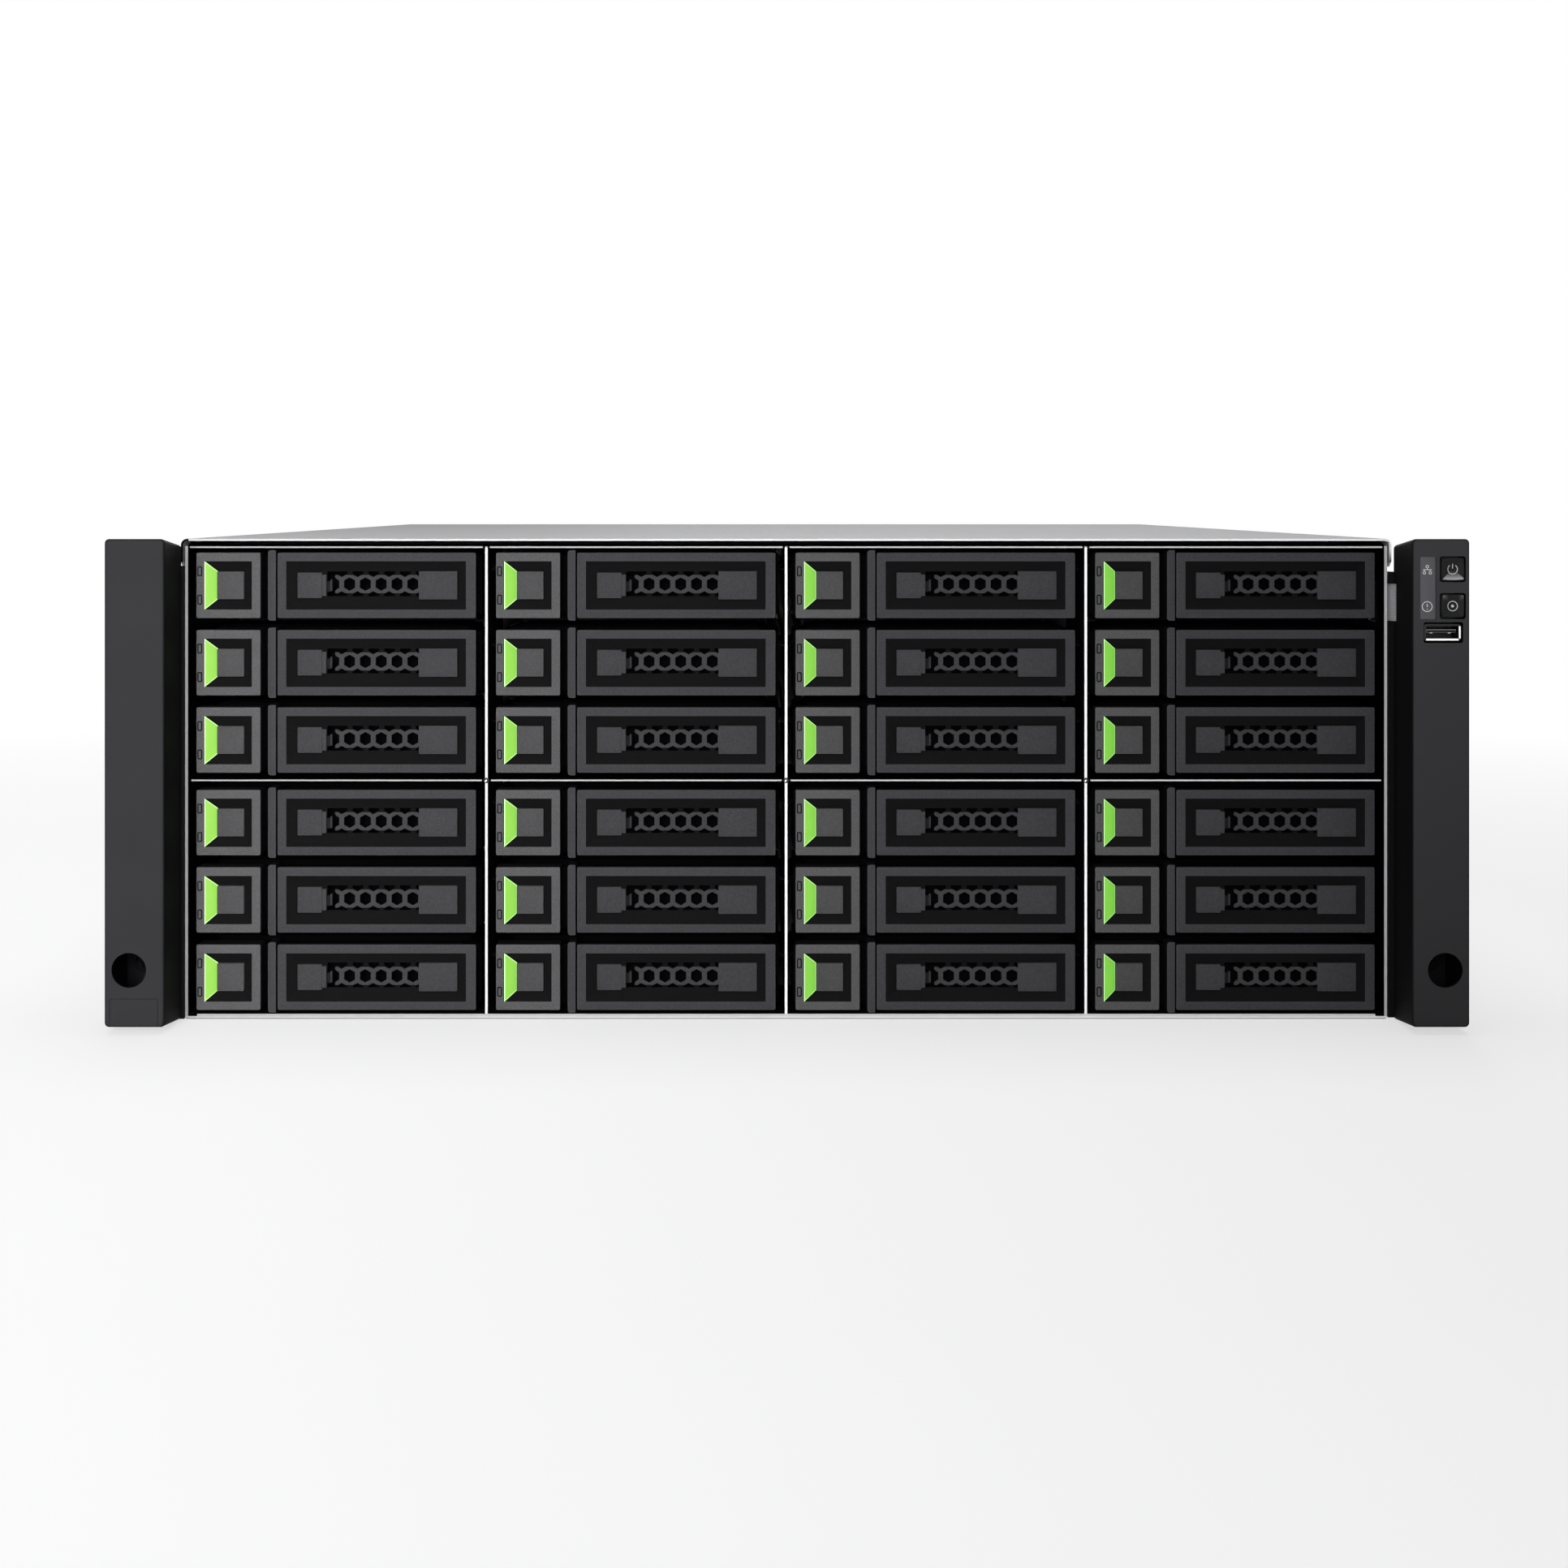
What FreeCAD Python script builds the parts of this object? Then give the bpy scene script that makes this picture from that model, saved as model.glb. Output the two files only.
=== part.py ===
import FreeCAD, Part
import math
import os

from FreeCAD import Vector

# Disk shelf enclosure: a 4U rack chassis with 24 hot-swap drive carriers in 4 columns and 6 rows.
#
# Millimetres. +Z up, the front faces -Y. X = 0 is the middle of the chassis, Y = 0 the plane of its
# front edges, which is also the plane of the rack rails, and Z = 0 its underside.

# Chassis sheet metal
chassis_w = 438.0
chassis_d = 515.0
sheet_t = 1.0
edge_r = 0.9
cover_t = 0.8
cover_flange_h = 10.3
cover_gap = 0.8
cover_bend_r = 2.4
cover_slant = (3.0, 2.0)
side_relief = (8.0, 1.6)
side_drop = 0.3

# Drive bays: columns and rows
columns = 4
rows_in_group = 3
groups = 2
row_gap = 4.3
under_row = 1.3
over_group = 3.2
over_shelf = 2.4
over_top = 1.7
lid_space = 2.0
divider_t = 1.0
shelf_t = 0.6
cage_floor_t = 0.8
shelf_gap = 1.2
shelf_notch_d = 6.0
rail_y = 12.0
rail_drop = 6.9
rail_h = 1.2
rail_w = 1.5

# Carrier face, from the middle of the divider at its left and from the bottom of its frame
frame_h = 23.9
module_left = 3.45
module_w = 23.4
rim_w = 2.95
rim_h = 3.15
recess_d = 2.2
plateau_y = 0.5
insert_t = 0.8
button_left = 10.9
button_w = 9.9
button_h = 10.2
button_gap = 0.25
bar_left = 29.6
bar_w = 2.9
bar_over = 0.9

# Lever
lever_left = 33.0
lever_margin = 3.85
lever_t = 3.2
lever_rim_w = 3.3
lever_end_t = 1.9
lever_end_w = 5.0
island_inset = (7.3, 6.8)
island_h = 10.2
lock_w = 8.9
lock_h = 9.3
window_inset = 20.4
flat_w = 14.2
hex_pitch = 5.77
hex_half = 1.97
hex_shoulder = 1.35
hex_tip = 2.45
hex_lift = 0.47
hex_count = 5
hex_margin = 0.1
pivot_inset = 4.6
pivot_y = 5.2
pin_r = 1.0
pin_clear = 0.06
lug_half_w = 1.7
lug_nose = 1.3
lug_h = 2.4
lug_inset = 3.0
lug_clear = 0.3
hook_t = 1.0
pin_sides = 8

# Tray and disk
tray_side = 2.63
tray_t = 1.1
tray_y = 8.4
tray_d = 155.0
tray_inset = 1.2
runner_w = 1.2
runner_h = 1.2
runner_clear = 0.15
disk_side_gap = 0.095
disk_d = 147.0
disk_over = 1.1
disk_y = 12.0

# Backplanes: one board strip behind each row
board_t = 2.4
board_inset = 0.3
board_h = 13.0
sas_w = 42.0
sas_h = 5.6
sas_d = 16.6
sas_gap = 0.4

# Rear bays and modules
module_gap = 4.2
module_clear = 0.6
housing_t = 1.0
face_t = 1.6
port_wall = 1.0
sas_port = (19.0, 9.0, 14.0)
lan_port = (12.0, 9.0, 14.0)
inlet = (27.6, 20.4, 16.0)
fan_r = 37.0
fan_frame = 80.0
fan_hub = 28.0
fan_t = 25.0
fan_blades = 7
blade_t = 1.8
blade_w = 10.0
blade_pitch = 35.0
blade_root = 2.0
hub_drop = 3.0
bridge_w = 8.0
bridge_t = 2.0
throat_sides = 16
guard_slots = 7
guard_slot_h = 7.0
handle_t = 4.0
handle_reach = 26.0
handle_r = 6.0
handle_inset = 12.0
handle_x = 92.0
board_inset_x = 6.0
board_lift = 6.0
plug_w = 80.0
plug_h = 5.6
plug_d = 14.2
port_pitch = 29.0
port_z = 20.0
vent_w = 50.0
vent_pitch = 55.0
vent_h = 20.0
vent_drop = 14.0
fan_x = 40.0
inlet_x = 48.0
inlet_drop = 14.0
inlet_margin = 14.0

# Rack ears, from the chassis side and from its underside
ear_gap = 2.0
ear_w = 20.3
ear_z0 = 2.9
ear_rise = 0.4
ear_front = -24.5
ear_wall = 1.6
ear_draft = 1.9
ear_edge_r = 1.0
bracket_t = 1.5
bracket_y1 = 62.0
bracket_z0 = 4.0
bracket_drop = 12.0
bracket_margin = 0.5
rack_hole_inset = 8.75
rack_hole_z = 22.5
rack_hole_r = 3.5
access_hole_r = 6.15

# Operator panel on the right ear: each piece's middle, from the ear's inner side and from its top
strip_inset = 5.5
strip_w = 5.5
strip_h = 22.2
strip_drop = 17.5
strip_back = 0.3
key_inset = 14.4
key_w = 8.0
key_gap = 0.3
key_t = 3.0
key_edge = 0.8
key_travel = 1.2
key_proud = 0.4
plunger_w = 3.0
switch_w = 6.0
switch_t = 4.0
power_drop = 11.0
locate_drop = 24.0
usb_inset = 10.9
usb_drop = 33.35
usb_w = 14.0
usb_h = 7.1
usb_shell_w = 13.1
usb_shell_h = 5.7
usb_shell_t = 0.4
usb_d = 10.5
usb_set_back = 1.2
tongue_t = 1.8
tongue_inset = 1.0
tongue_back = 1.6
panel_y = -14.0
panel_t = 1.6
panel_margin = 6.0

# Ribbon cable between the panel board and the top backplane
ribbon_t = 0.6
ribbon_w = 14.2
ribbon_drop = 30.1
slot_clear = 1.0
ribbon_plug = (5.0, 3.2)
ribbon_start_inset = 5.0
ribbon_out = 0.75
ribbon_in = 0.35
ribbon_bend_y = (2.6, 9.5, 19.5)
ribbon_bends = (8.0, 12.0, 12.0)
ribbon_slot_y = (9.0, 22.0)
ribbon_notch_y = -4.7

# Derived places
half_w = chassis_w / 2
wall_in = half_w - sheet_t
col_pitch = (2 * wall_in + divider_t) / columns
row_pitch = frame_h + row_gap
group_h = (rows_in_group - 1) * row_pitch + frame_h
low_base = sheet_t + cage_floor_t + under_row
shelf_z = low_base + group_h + over_group
high_base = shelf_z + shelf_t + over_shelf
cage_top_z = high_base + group_h + over_top
cover_z = cage_top_z + shelf_t + lid_space
chassis_h = cover_z + cover_t
side_top = cover_z - side_drop
group_bases = (low_base, high_base)
row_count = rows_in_group * groups
cage_d = disk_y + disk_d + sas_gap + sas_d
board_y = cage_d
rear_y = board_y + board_t
lever_w = col_pitch - lever_left - lever_margin
island_left = lever_left + island_inset[0]
island_right = lever_left + lever_w - island_inset[1]
window_left = lever_left + window_inset
window_right = island_right - flat_w
hex_last = window_right - hex_half - hex_margin
pivot_x = lever_left + lever_w - pivot_inset
tray_w = col_pitch - 2 * tray_side
disk_w = tray_w - 2 * (tray_t + disk_side_gap)
rail_z = frame_h - rail_drop
ear_in = half_w + ear_gap
ear_out = ear_in + ear_w
ear_z1 = chassis_h + ear_rise
ear_back = -bracket_t
bracket_z1 = chassis_h - bracket_drop
rack_hole_x = ear_out - rack_hole_inset
strip_x = ear_in + strip_inset
strip_z = ear_z1 - strip_drop
key_x = ear_in + key_inset
power_z = ear_z1 - power_drop
locate_z = ear_z1 - locate_drop
usb_x = ear_in + usb_inset
usb_z = ear_z1 - usb_drop
ribbon_z = ear_z1 - ribbon_drop


def box(x0, x1, y0, y1, z0, z1):
    return Part.makeBox(x1 - x0, y1 - y0, z1 - z0, Vector(x0, y0, z0))


def prism(points, direction):
    """A prism of the polygon through the points, swept along the direction."""
    corners = [Vector(*p) for p in points]
    return Part.Face(Part.makePolygon(corners + corners[:1])).extrude(Vector(*direction))


def funnel(x0, x1, z0, z1, y0, insets, y1):
    """A four-sided funnel from a rectangle at y0 to one at y1, inset by (left, right, bottom, top)."""
    left, right, low, high = insets
    return Part.makeWedge(x0, y0, z0, z0 + low, x0 + left, x1, y1, z1, z1 - high, x1 - right)


def regular(sides, across_flats, x, y, z, axis, length, turn=0.0):
    """A regular prism along Y or Z whose opposite sides are across_flats apart."""
    r = across_flats / 2 / math.cos(math.pi / sides)
    points = []
    for i in range(sides):
        angle = turn + 2 * math.pi * i / sides
        a, b = r * math.cos(angle), r * math.sin(angle)
        points.append((x + a, y, z + b) if axis == "y" else (x + a, y + b, z))
    return prism(points, (0, length, 0) if axis == "y" else (0, 0, length))


def tube_along_y(x, z, r, y0, y1):
    return Part.makeCylinder(r, y1 - y0, Vector(x, y0, z), Vector(0, 1, 0))


def moved(shape, x, y, z):
    placed = shape.copy()
    placed.translate(Vector(x, y, z))
    return placed


def mirrored(shape):
    return shape.mirror(Vector(0, 0, 0), Vector(1, 0, 0))


def save(node, solids):
    """Writes one node: each of its pieces stays a solid of its own."""
    shape = Part.makeCompound(solids) if len(solids) > 1 else solids[0]
    shape.exportStep(os.path.join("parts", node + ".step"))


# Places in the grid of bays

def column_x(column):
    """X of the divider at the left of a column."""
    return (column - columns / 2) * col_pitch


def row_bottom(row):
    """Z of the bottom of a row's frames, rows counted from the bottom."""
    return group_bases[row // rows_in_group] + (row % rows_in_group) * row_pitch


# Carrier, in its own bay's coordinates

recess_w = module_w - 2 * rim_w
recess_h = frame_h - 2 * rim_h
bay_middle = col_pitch / 2


def release_module():
    """The square moulding at the left: a rim, sloped walls and the floor its button stands on."""
    r0, r1 = module_left + rim_w, module_left + module_w - rim_w
    rise = (recess_h - button_h) / 2
    insets = (button_left - r0, r1 - button_left - button_w, rise, rise)
    body = box(module_left, module_left + module_w, 0, tray_y, 0, frame_h)
    body = body.cut(funnel(r0, r1, rim_h, frame_h - rim_h, 0, insets, recess_d))
    return body.cut(light_insert()).removeSplitter()


def light_insert():
    """The coloured insert that forms the left sloped wall of the module."""
    r0 = module_left + rim_w
    rise = (recess_h - button_h) / 2
    slope = [(r0, 0, rim_h), (r0, 0, frame_h - rim_h),
             (button_left, recess_d, frame_h - rim_h - rise), (button_left, recess_d, rim_h + rise)]
    return prism(slope, (0, insert_t, 0))


def release_button():
    u0 = button_left + button_gap
    w0 = (frame_h - button_h) / 2 + button_gap
    return box(u0, button_left + button_w - button_gap, plateau_y, recess_d, w0, frame_h - w0)


def latch_bar():
    return box(bar_left, bar_left + bar_w, 0, tray_y, -bar_over, frame_h + bar_over)


def hinge_lugs():
    """Two lugs that stand out of the tray's front wall."""
    return [box(pivot_x - lug_half_w, pivot_x + lug_half_w, pivot_y - lug_nose, tray_y, w, w + lug_h)
            for w in (lug_inset, frame_h - lug_inset - lug_h)]


def hinge_pin():
    """The lever's pin, eight-sided, from lug to lug."""
    w0 = lug_inset + lug_h
    return regular(pin_sides, 2 * pin_r, pivot_x, pivot_y, w0, "z", frame_h - 2 * w0, math.pi / pin_sides)


def tray():
    """The U-shaped tray: front wall with hinge lugs, and two sides with runners."""
    u0, u1 = bay_middle - tray_w / 2, bay_middle + tray_w / 2
    w0, w1 = tray_inset, frame_h - tray_inset
    y1 = tray_y + tray_d
    body = box(u0, u1, tray_y, y1, w0, w1).cut(box(u0 + tray_t, u1 - tray_t, disk_y, y1, w0, w1))
    low = rail_z + rail_h + runner_clear
    for a, b in ((u0 - runner_w, u0), (u1, u1 + runner_w)):
        body = body.fuse(box(a, b, tray_y, y1, low, low + runner_h))
    return body.fuse(hinge_lugs()).removeSplitter()


def disk():
    """A 3.5-inch drive between the tray's sides."""
    u0, u1 = bay_middle - disk_w / 2, bay_middle + disk_w / 2
    return box(u0, u1, disk_y, disk_y + disk_d, -disk_over, frame_h + disk_over)


def carrier():
    return [tray(), disk(), release_module(), light_insert(), release_button(), latch_bar(), hinge_pin()]


# Lever

def honeycomb():
    """The lever's air window: a row of hexagonal holes, points up."""
    corners = [(hex_half, hex_shoulder), (0, hex_tip), (-hex_half, hex_shoulder),
               (-hex_half, -hex_shoulder), (0, -hex_tip), (hex_half, -hex_shoulder)]
    w = frame_h / 2 + hex_lift
    places = [hex_last - i * hex_pitch for i in range(hex_count)]
    return [prism([(u + a, 0, w + b) for a, b in corners], (0, lever_t, 0)) for u in places]


def lever_hook():
    """The hook that snaps over the carrier's pin between its lugs, and is open at the back."""
    w0 = lug_inset + lug_h + lug_clear
    w1 = frame_h - w0
    reach = pin_r / math.cos(math.pi / pin_sides) + pin_clear
    ear = box(pivot_x - reach - hook_t, pivot_x + reach + hook_t, lever_end_t, pivot_y + pin_r, w0, w1)
    return ear.cut(box(pivot_x - reach, pivot_x + reach, pivot_y - reach, pivot_y + pin_r, w0, w1))


def lever():
    """The wide release lever: rim, sloped walls, and the raised island with the honeycomb."""
    u0, u1 = lever_left, lever_left + lever_w
    r0, r1 = u0 + lever_rim_w, u1 - lever_rim_w
    rise = (recess_h - island_h) / 2
    plate = box(u0, u1, 0, lever_t, 0, frame_h)
    plate = plate.cut(box(u1 - lever_end_w, u1, lever_end_t, lever_t, 0, frame_h))
    insets = (island_left - r0, r1 - island_right, rise, rise)
    plate = plate.cut(funnel(r0, r1, rim_h, frame_h - rim_h, 0, insets, recess_d))
    island = box(window_left, island_right, plateau_y, recess_d, rim_h + rise, frame_h - rim_h - rise)
    return plate.fuse([island, lever_hook()]).cut(honeycomb()).removeSplitter()


def lock_slider():
    """The small square slider that locks the lever."""
    w0 = (frame_h - lock_h) / 2
    return box(island_left, island_left + lock_w, plateau_y, recess_d, w0, w0 + lock_h)


# Chassis

def side_sheet():
    """The right side: its lower outer edge rounded, its upper front corner cut away on a slant."""
    sheet = box(wall_in, half_w, 0, chassis_d, 0, side_top)
    corner = [e for e in sheet.Edges
              if e.BoundBox.YLength > 1 and e.BoundBox.ZMax < edge_r and e.BoundBox.XMin > wall_in + 0.1]
    sheet = sheet.makeFillet(edge_r, corner)
    relief_d, relief_h = side_relief
    slant = [(wall_in, 0, side_top - relief_h), (wall_in, 0, side_top), (wall_in, relief_d, side_top)]
    return sheet.cut(prism(slant, (sheet_t, 0, 0)))


def chassis_sheets():
    """The floor, the two sides, and behind the backplanes the sheets that part the module bays."""
    floor = box(-wall_in, wall_in, 0, chassis_d, 0, sheet_t)
    right = side_sheet()
    left = mirrored(right)
    right = right.cut(box(wall_in, half_w, *ribbon_slot_y, *ribbon_slot_z))
    shelf = box(-wall_in, wall_in, rear_y, chassis_d, shelf_z, shelf_z + shelf_t)
    half_t = divider_t / 2
    uprights = [box(-half_t, half_t, rear_y, chassis_d, z0, z1) for z0, z1 in bay_z]
    return [floor, left, right, shelf, *uprights]


bay_z = ((sheet_t, shelf_z), (shelf_z + shelf_t, cover_z))


def top_cover():
    """The lid: a sheet folded down over both sides, its edges hemmed inwards, slanted at the front."""
    x = half_w + cover_gap + cover_t
    low = chassis_h - cover_flange_h
    outer = box(-x, x, 0, chassis_d, low, chassis_h)
    inner = box(cover_t - x, x - cover_t, 0, chassis_d, low + cover_t, cover_z)
    body = folded(outer, cover_bend_r).cut(folded(inner, cover_bend_r - cover_t))
    body = body.cut(box(-half_w, half_w, 0, chassis_d, low, low + cover_t))
    slant_d, slant_h = cover_slant
    slant = [(-x, 0, low), (-x, slant_d, low), (-x, 0, low + slant_h)]
    return body.cut(prism(slant, (2 * x, 0, 0))).removeSplitter()


def folded(block, r):
    """The block with its two upper lengthways edges rounded, as a fold leaves them."""
    top = block.BoundBox.ZMax
    edges = [e for e in block.Edges if e.BoundBox.YLength > 1 and e.BoundBox.ZMin > top - 0.01]
    return block.makeFillet(r, edges)


# Drive cage

def rail(x0, x1, row):
    z = row_bottom(row) + rail_z
    return box(x0, x1, rail_y, cage_d, z, z + rail_h)


def divider(index):
    """One upright and the guide rails on both its faces."""
    x = column_x(index)
    z0 = sheet_t + cage_floor_t
    left, right = x - divider_t / 2, x + divider_t / 2
    pieces = [box(left, right, 0, cage_d, z0, cage_top_z)]
    for row in range(row_count):
        pieces += [rail(left - rail_w, left, row), rail(right, right + rail_w, row)]
    return pieces


def side_rails():
    rails = []
    for row in range(row_count):
        rails += [rail(-wall_in, rail_w - wall_in, row), rail(wall_in - rail_w, wall_in, row)]
    return rails


def mid_shelf(x0, x1):
    """One bay's width of the mid shelf, slanted back round the uprights' fronts."""
    a, b, d = x0 + shelf_gap, x1 - shelf_gap, shelf_notch_d
    plan = [(a, 0), (b, 0), (x1, d), (x1, cage_d), (x0, cage_d), (x0, d)]
    return prism([(x, y, shelf_z) for x, y in plan], (0, 0, shelf_t))


def cage_shelves():
    """The floor of the cage, its top sheet, and the mid shelf between the uprights."""
    panels = [box(-wall_in, wall_in, 0, cage_d, sheet_t, sheet_t + cage_floor_t),
              box(-wall_in, wall_in, 0, cage_d, cage_top_z, cage_top_z + shelf_t)]
    for column in range(columns):
        x0 = max(column_x(column) + divider_t / 2, -wall_in)
        x1 = min(column_x(column + 1) - divider_t / 2, wall_in)
        panels.append(mid_shelf(x0, x1))
    return panels


def drive_cage():
    return divider(1) + divider(2) + divider(3) + side_rails() + cage_shelves()


# Backplanes

def backplanes():
    """A board strip behind each row with its four connectors; the air passes between the strips."""
    pieces = []
    for row in range(row_count):
        z = row_bottom(row) + frame_h / 2
        x = wall_in - board_inset
        pieces.append(box(-x, x, board_y, rear_y, z - board_h / 2, z + board_h / 2))
        for column in range(columns):
            x = column_x(column) + bay_middle
            pieces.append(box(x - sas_w / 2, x + sas_w / 2, board_y - sas_d, board_y,
                              z - sas_h / 2, z + sas_h / 2))
    return pieces


# Modules at the rear

face_y = chassis_d + face_t


def bay(side, level):
    """The span of a module in its bay: x0, x1, z0, z1."""
    a, b = sorted((side * (divider_t / 2 + module_clear), side * (wall_in - module_clear)))
    z0, z1 = bay_z[level]
    return a, b, z0 + module_clear, z1 - module_clear


def housing(x0, x1, z0, z1):
    """The sheets of a module's housing, open towards the backplanes."""
    y0 = rear_y + module_gap
    t = housing_t
    return [box(x0, x1, y0, chassis_d, z0, z0 + t), box(x0, x1, y0, chassis_d, z1 - t, z1),
            box(x0, x0 + t, y0, chassis_d, z0 + t, z1 - t), box(x1 - t, x1, y0, chassis_d, z0 + t, z1 - t)]


def socket_space(x, z, size):
    w, h, d = size
    return box(x - w / 2, x + w / 2, face_y - d, face_y, z - h / 2, z + h / 2)


def socket_block(x, z, size):
    """A port's cage behind the face plate, open to the rear."""
    w, h, d = size
    wall = port_wall
    block = box(x - w / 2 - wall, x + w / 2 + wall, face_y - d - wall, chassis_d,
                z - h / 2 - wall, z + h / 2 + wall)
    return block.cut(socket_space(x, z, size))


def board_and_plug(x0, x1, z0):
    """The module's board and the connector that meets a backplane."""
    middle = (x0 + x1) / 2
    y0 = rear_y + module_gap
    z = z0 + board_lift
    y1 = chassis_d - fan_t - bridge_t - module_gap
    board = box(x0 + board_inset_x, x1 - board_inset_x, y0, y1, z, z + board_t)
    plug = box(middle - plug_w / 2, middle + plug_w / 2, rear_y, rear_y + plug_d,
               z + board_t, z + board_t + plug_h)
    return [board, plug]


def pull_handle(x, z0, z1):
    """A bow handle standing out of a face plate."""
    y1 = face_y + handle_reach
    t = handle_t
    outer = box(x - t / 2, x + t / 2, face_y, y1, z0, z1)
    corners = [e for e in outer.Edges if e.BoundBox.YMin > y1 - 0.01 and e.BoundBox.XLength > t - 0.01]
    gap = box(x - t / 2, x + t / 2, face_y, y1 - t, z0 + t, z1 - t)
    return outer.makeChamfer(handle_r, corners).cut(gap)


def io_module(side):
    """An interface module: housing, face plate, board, port cages and handle."""
    x0, x1, z0, z1 = bay(side, 1)
    middle = (x0 + x1) / 2
    sockets = [(middle + (i - 2) * port_pitch, z0 + port_z, sas_port) for i in range(4)]
    sockets.append((middle + 2 * port_pitch, z0 + port_z, lan_port))
    vents = [box(middle + x - vent_w / 2, middle + x + vent_w / 2, chassis_d, face_y,
                 z1 - vent_drop - vent_h, z1 - vent_drop) for x in (-vent_pitch, 0, vent_pitch)]
    face = box(x0, x1, chassis_d, face_y, z0, z1).cut([socket_space(*s) for s in sockets] + vents)
    handle = pull_handle(middle + side * handle_x, z0 + handle_inset, z1 - handle_inset)
    cages = [socket_block(*s) for s in sockets]
    return housing(x0, x1, z0, z1) + [face, handle] + board_and_plug(x0, x1, z0) + cages


def fan(x, z):
    """A fan: its square frame, and the hub with pitched blades."""
    y0 = chassis_d - fan_t
    half = fan_frame / 2
    frame = box(x - half, x + half, y0, chassis_d, z - half, z + half).cut(
        regular(throat_sides, 2 * fan_r, x, y0, z, "y", fan_t))
    hub = regular(2 * fan_blades, fan_hub, x, y0, z, "y", fan_t - hub_drop)
    blades = []
    for i in range(fan_blades):
        blade = box(fan_hub / 2 - blade_root, fan_r - 1, -blade_t / 2, blade_t / 2,
                    -blade_w / 2, blade_w / 2)
        blade.rotate(Vector(0, 0, 0), Vector(1, 0, 0), blade_pitch)
        blade.rotate(Vector(0, 0, 0), Vector(0, 1, 0), 360 * (i + 0.5) / fan_blades)
        blade.translate(Vector(x, y0 + fan_t / 2, z))
        blades.append(blade)
    bridge = box(x - fan_r - 1, x + fan_r + 1, y0 - bridge_t, y0, z - bridge_w / 2, z + bridge_w / 2)
    return [frame, hub.fuse(blades).removeSplitter(), bridge]


def guard_openings(x, z):
    """The slots over a fan, each as long as the circle is wide at its height."""
    pitch = 2 * fan_r / guard_slots
    slots = []
    for i in range(guard_slots):
        dz = (i - (guard_slots - 1) / 2) * pitch
        half = math.sqrt(fan_r ** 2 - dz ** 2)
        slots.append(box(x - half, x + half, chassis_d, face_y, z + dz - guard_slot_h / 2,
                         z + dz + guard_slot_h / 2))
    return slots


def power_supply(side):
    """A power and cooling module: housing, slotted face plate, fan, mains inlet and handle."""
    x0, x1, z0, z1 = bay(side, 0)
    middle = (x0 + x1) / 2
    z = (z0 + z1) / 2
    socket = (middle + inlet_x, z - inlet_drop, inlet)
    openings = [socket_space(*socket)] + guard_openings(middle - fan_x, z)
    face = box(x0, x1, chassis_d, face_y, z0, z1).cut(openings)
    handle = pull_handle(x1 - inlet_margin, z0 + handle_inset, z1 - handle_inset)
    inner = fan(middle - fan_x, z) + board_and_plug(x0, x1, z0)
    return housing(x0, x1, z0, z1) + [face, handle, socket_block(*socket)] + inner


# Rack ears, built on the right and mirrored for the left

def ear_shell():
    """The moulded cover: drafted top and bottom, its front edges broken, open at the back."""
    draft = (0, 0, ear_draft, ear_draft)
    outer = funnel(ear_in, ear_out, ear_z0, ear_z1, ear_front, draft, ear_back)
    front = [e for e in outer.Edges if e.BoundBox.YMax < ear_front + 0.01]
    outer = outer.makeChamfer(ear_edge_r / 2, front)
    w = ear_wall
    cavity = funnel(ear_in + w, ear_out - w, ear_z0 + w, ear_z1 - w, ear_front + w, draft, ear_back)
    return outer.cut(cavity).cut(tube_along_y(rack_hole_x, rack_hole_z, access_hole_r, ear_front, ear_back))


def ear_bracket():
    """The steel angle screwed to the chassis side, whose flange lies on the rack rail."""
    x0, x1 = half_w, half_w + bracket_t
    side = box(x0, x1, -bracket_t, bracket_y1, bracket_z0, bracket_z1)
    flange = box(x0, ear_out - bracket_margin, -bracket_t, 0, bracket_z0, bracket_z1)
    hole = tube_along_y(rack_hole_x, rack_hole_z, rack_hole_r, -bracket_t, 0)
    return side.fuse(flange).cut(hole).removeSplitter()


def panel_windows():
    """The cut-outs of the operator panel in the cover's front wall."""
    y0, y1 = ear_front, ear_front + ear_wall
    reach = key_w / 2 + key_gap
    cuts = [panel_box(strip_x, strip_z, strip_w, strip_h, y0, y1),
            panel_box(usb_x, usb_z, usb_w, usb_h, y0, y1)]
    return cuts + [panel_box(key_x, z, 2 * reach, 2 * reach, y0, y1) for z in (power_z, locate_z)]


def panel_box(x, z, w, h, y0, y1):
    return box(x - w / 2, x + w / 2, y0, y1, z - h / 2, z + h / 2)


def usb_socket():
    """The bright shell of the port and the tongue inside it."""
    y0 = ear_front + usb_set_back
    y1 = y0 + usb_d
    w, h, t = usb_shell_w, usb_shell_h, usb_shell_t
    shell = panel_box(usb_x, usb_z, w, h, y0, y1)
    shell = shell.cut(panel_box(usb_x, usb_z, w - 2 * t, h - 2 * t, y0, y1 - 1))
    tongue = panel_box(usb_x, usb_z + tongue_t / 2, w - 2 * tongue_inset, tongue_t, y0 + tongue_back, y1 - 1)
    return [shell, tongue]


def panel_board():
    """The small board behind the panel, its key switches and the ribbon's connector."""
    y1 = panel_y + panel_t
    margin = ear_wall + 1
    board = box(ear_in + margin, ear_out - margin, panel_y, y1,
                usb_z + usb_shell_h / 2, power_z + panel_margin)
    switches = [panel_box(key_x, z, switch_w, switch_w, panel_y - switch_t, panel_y)
                for z in (power_z, locate_z)]
    socket_x = ribbon_start[0] + ribbon_t / 2
    plug_x, plug_y = ribbon_plug
    socket = box(socket_x, socket_x + plug_x, y1, y1 + plug_y, ribbon_z, ribbon_z + ribbon_w)
    return [board, *switches, socket]


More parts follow.
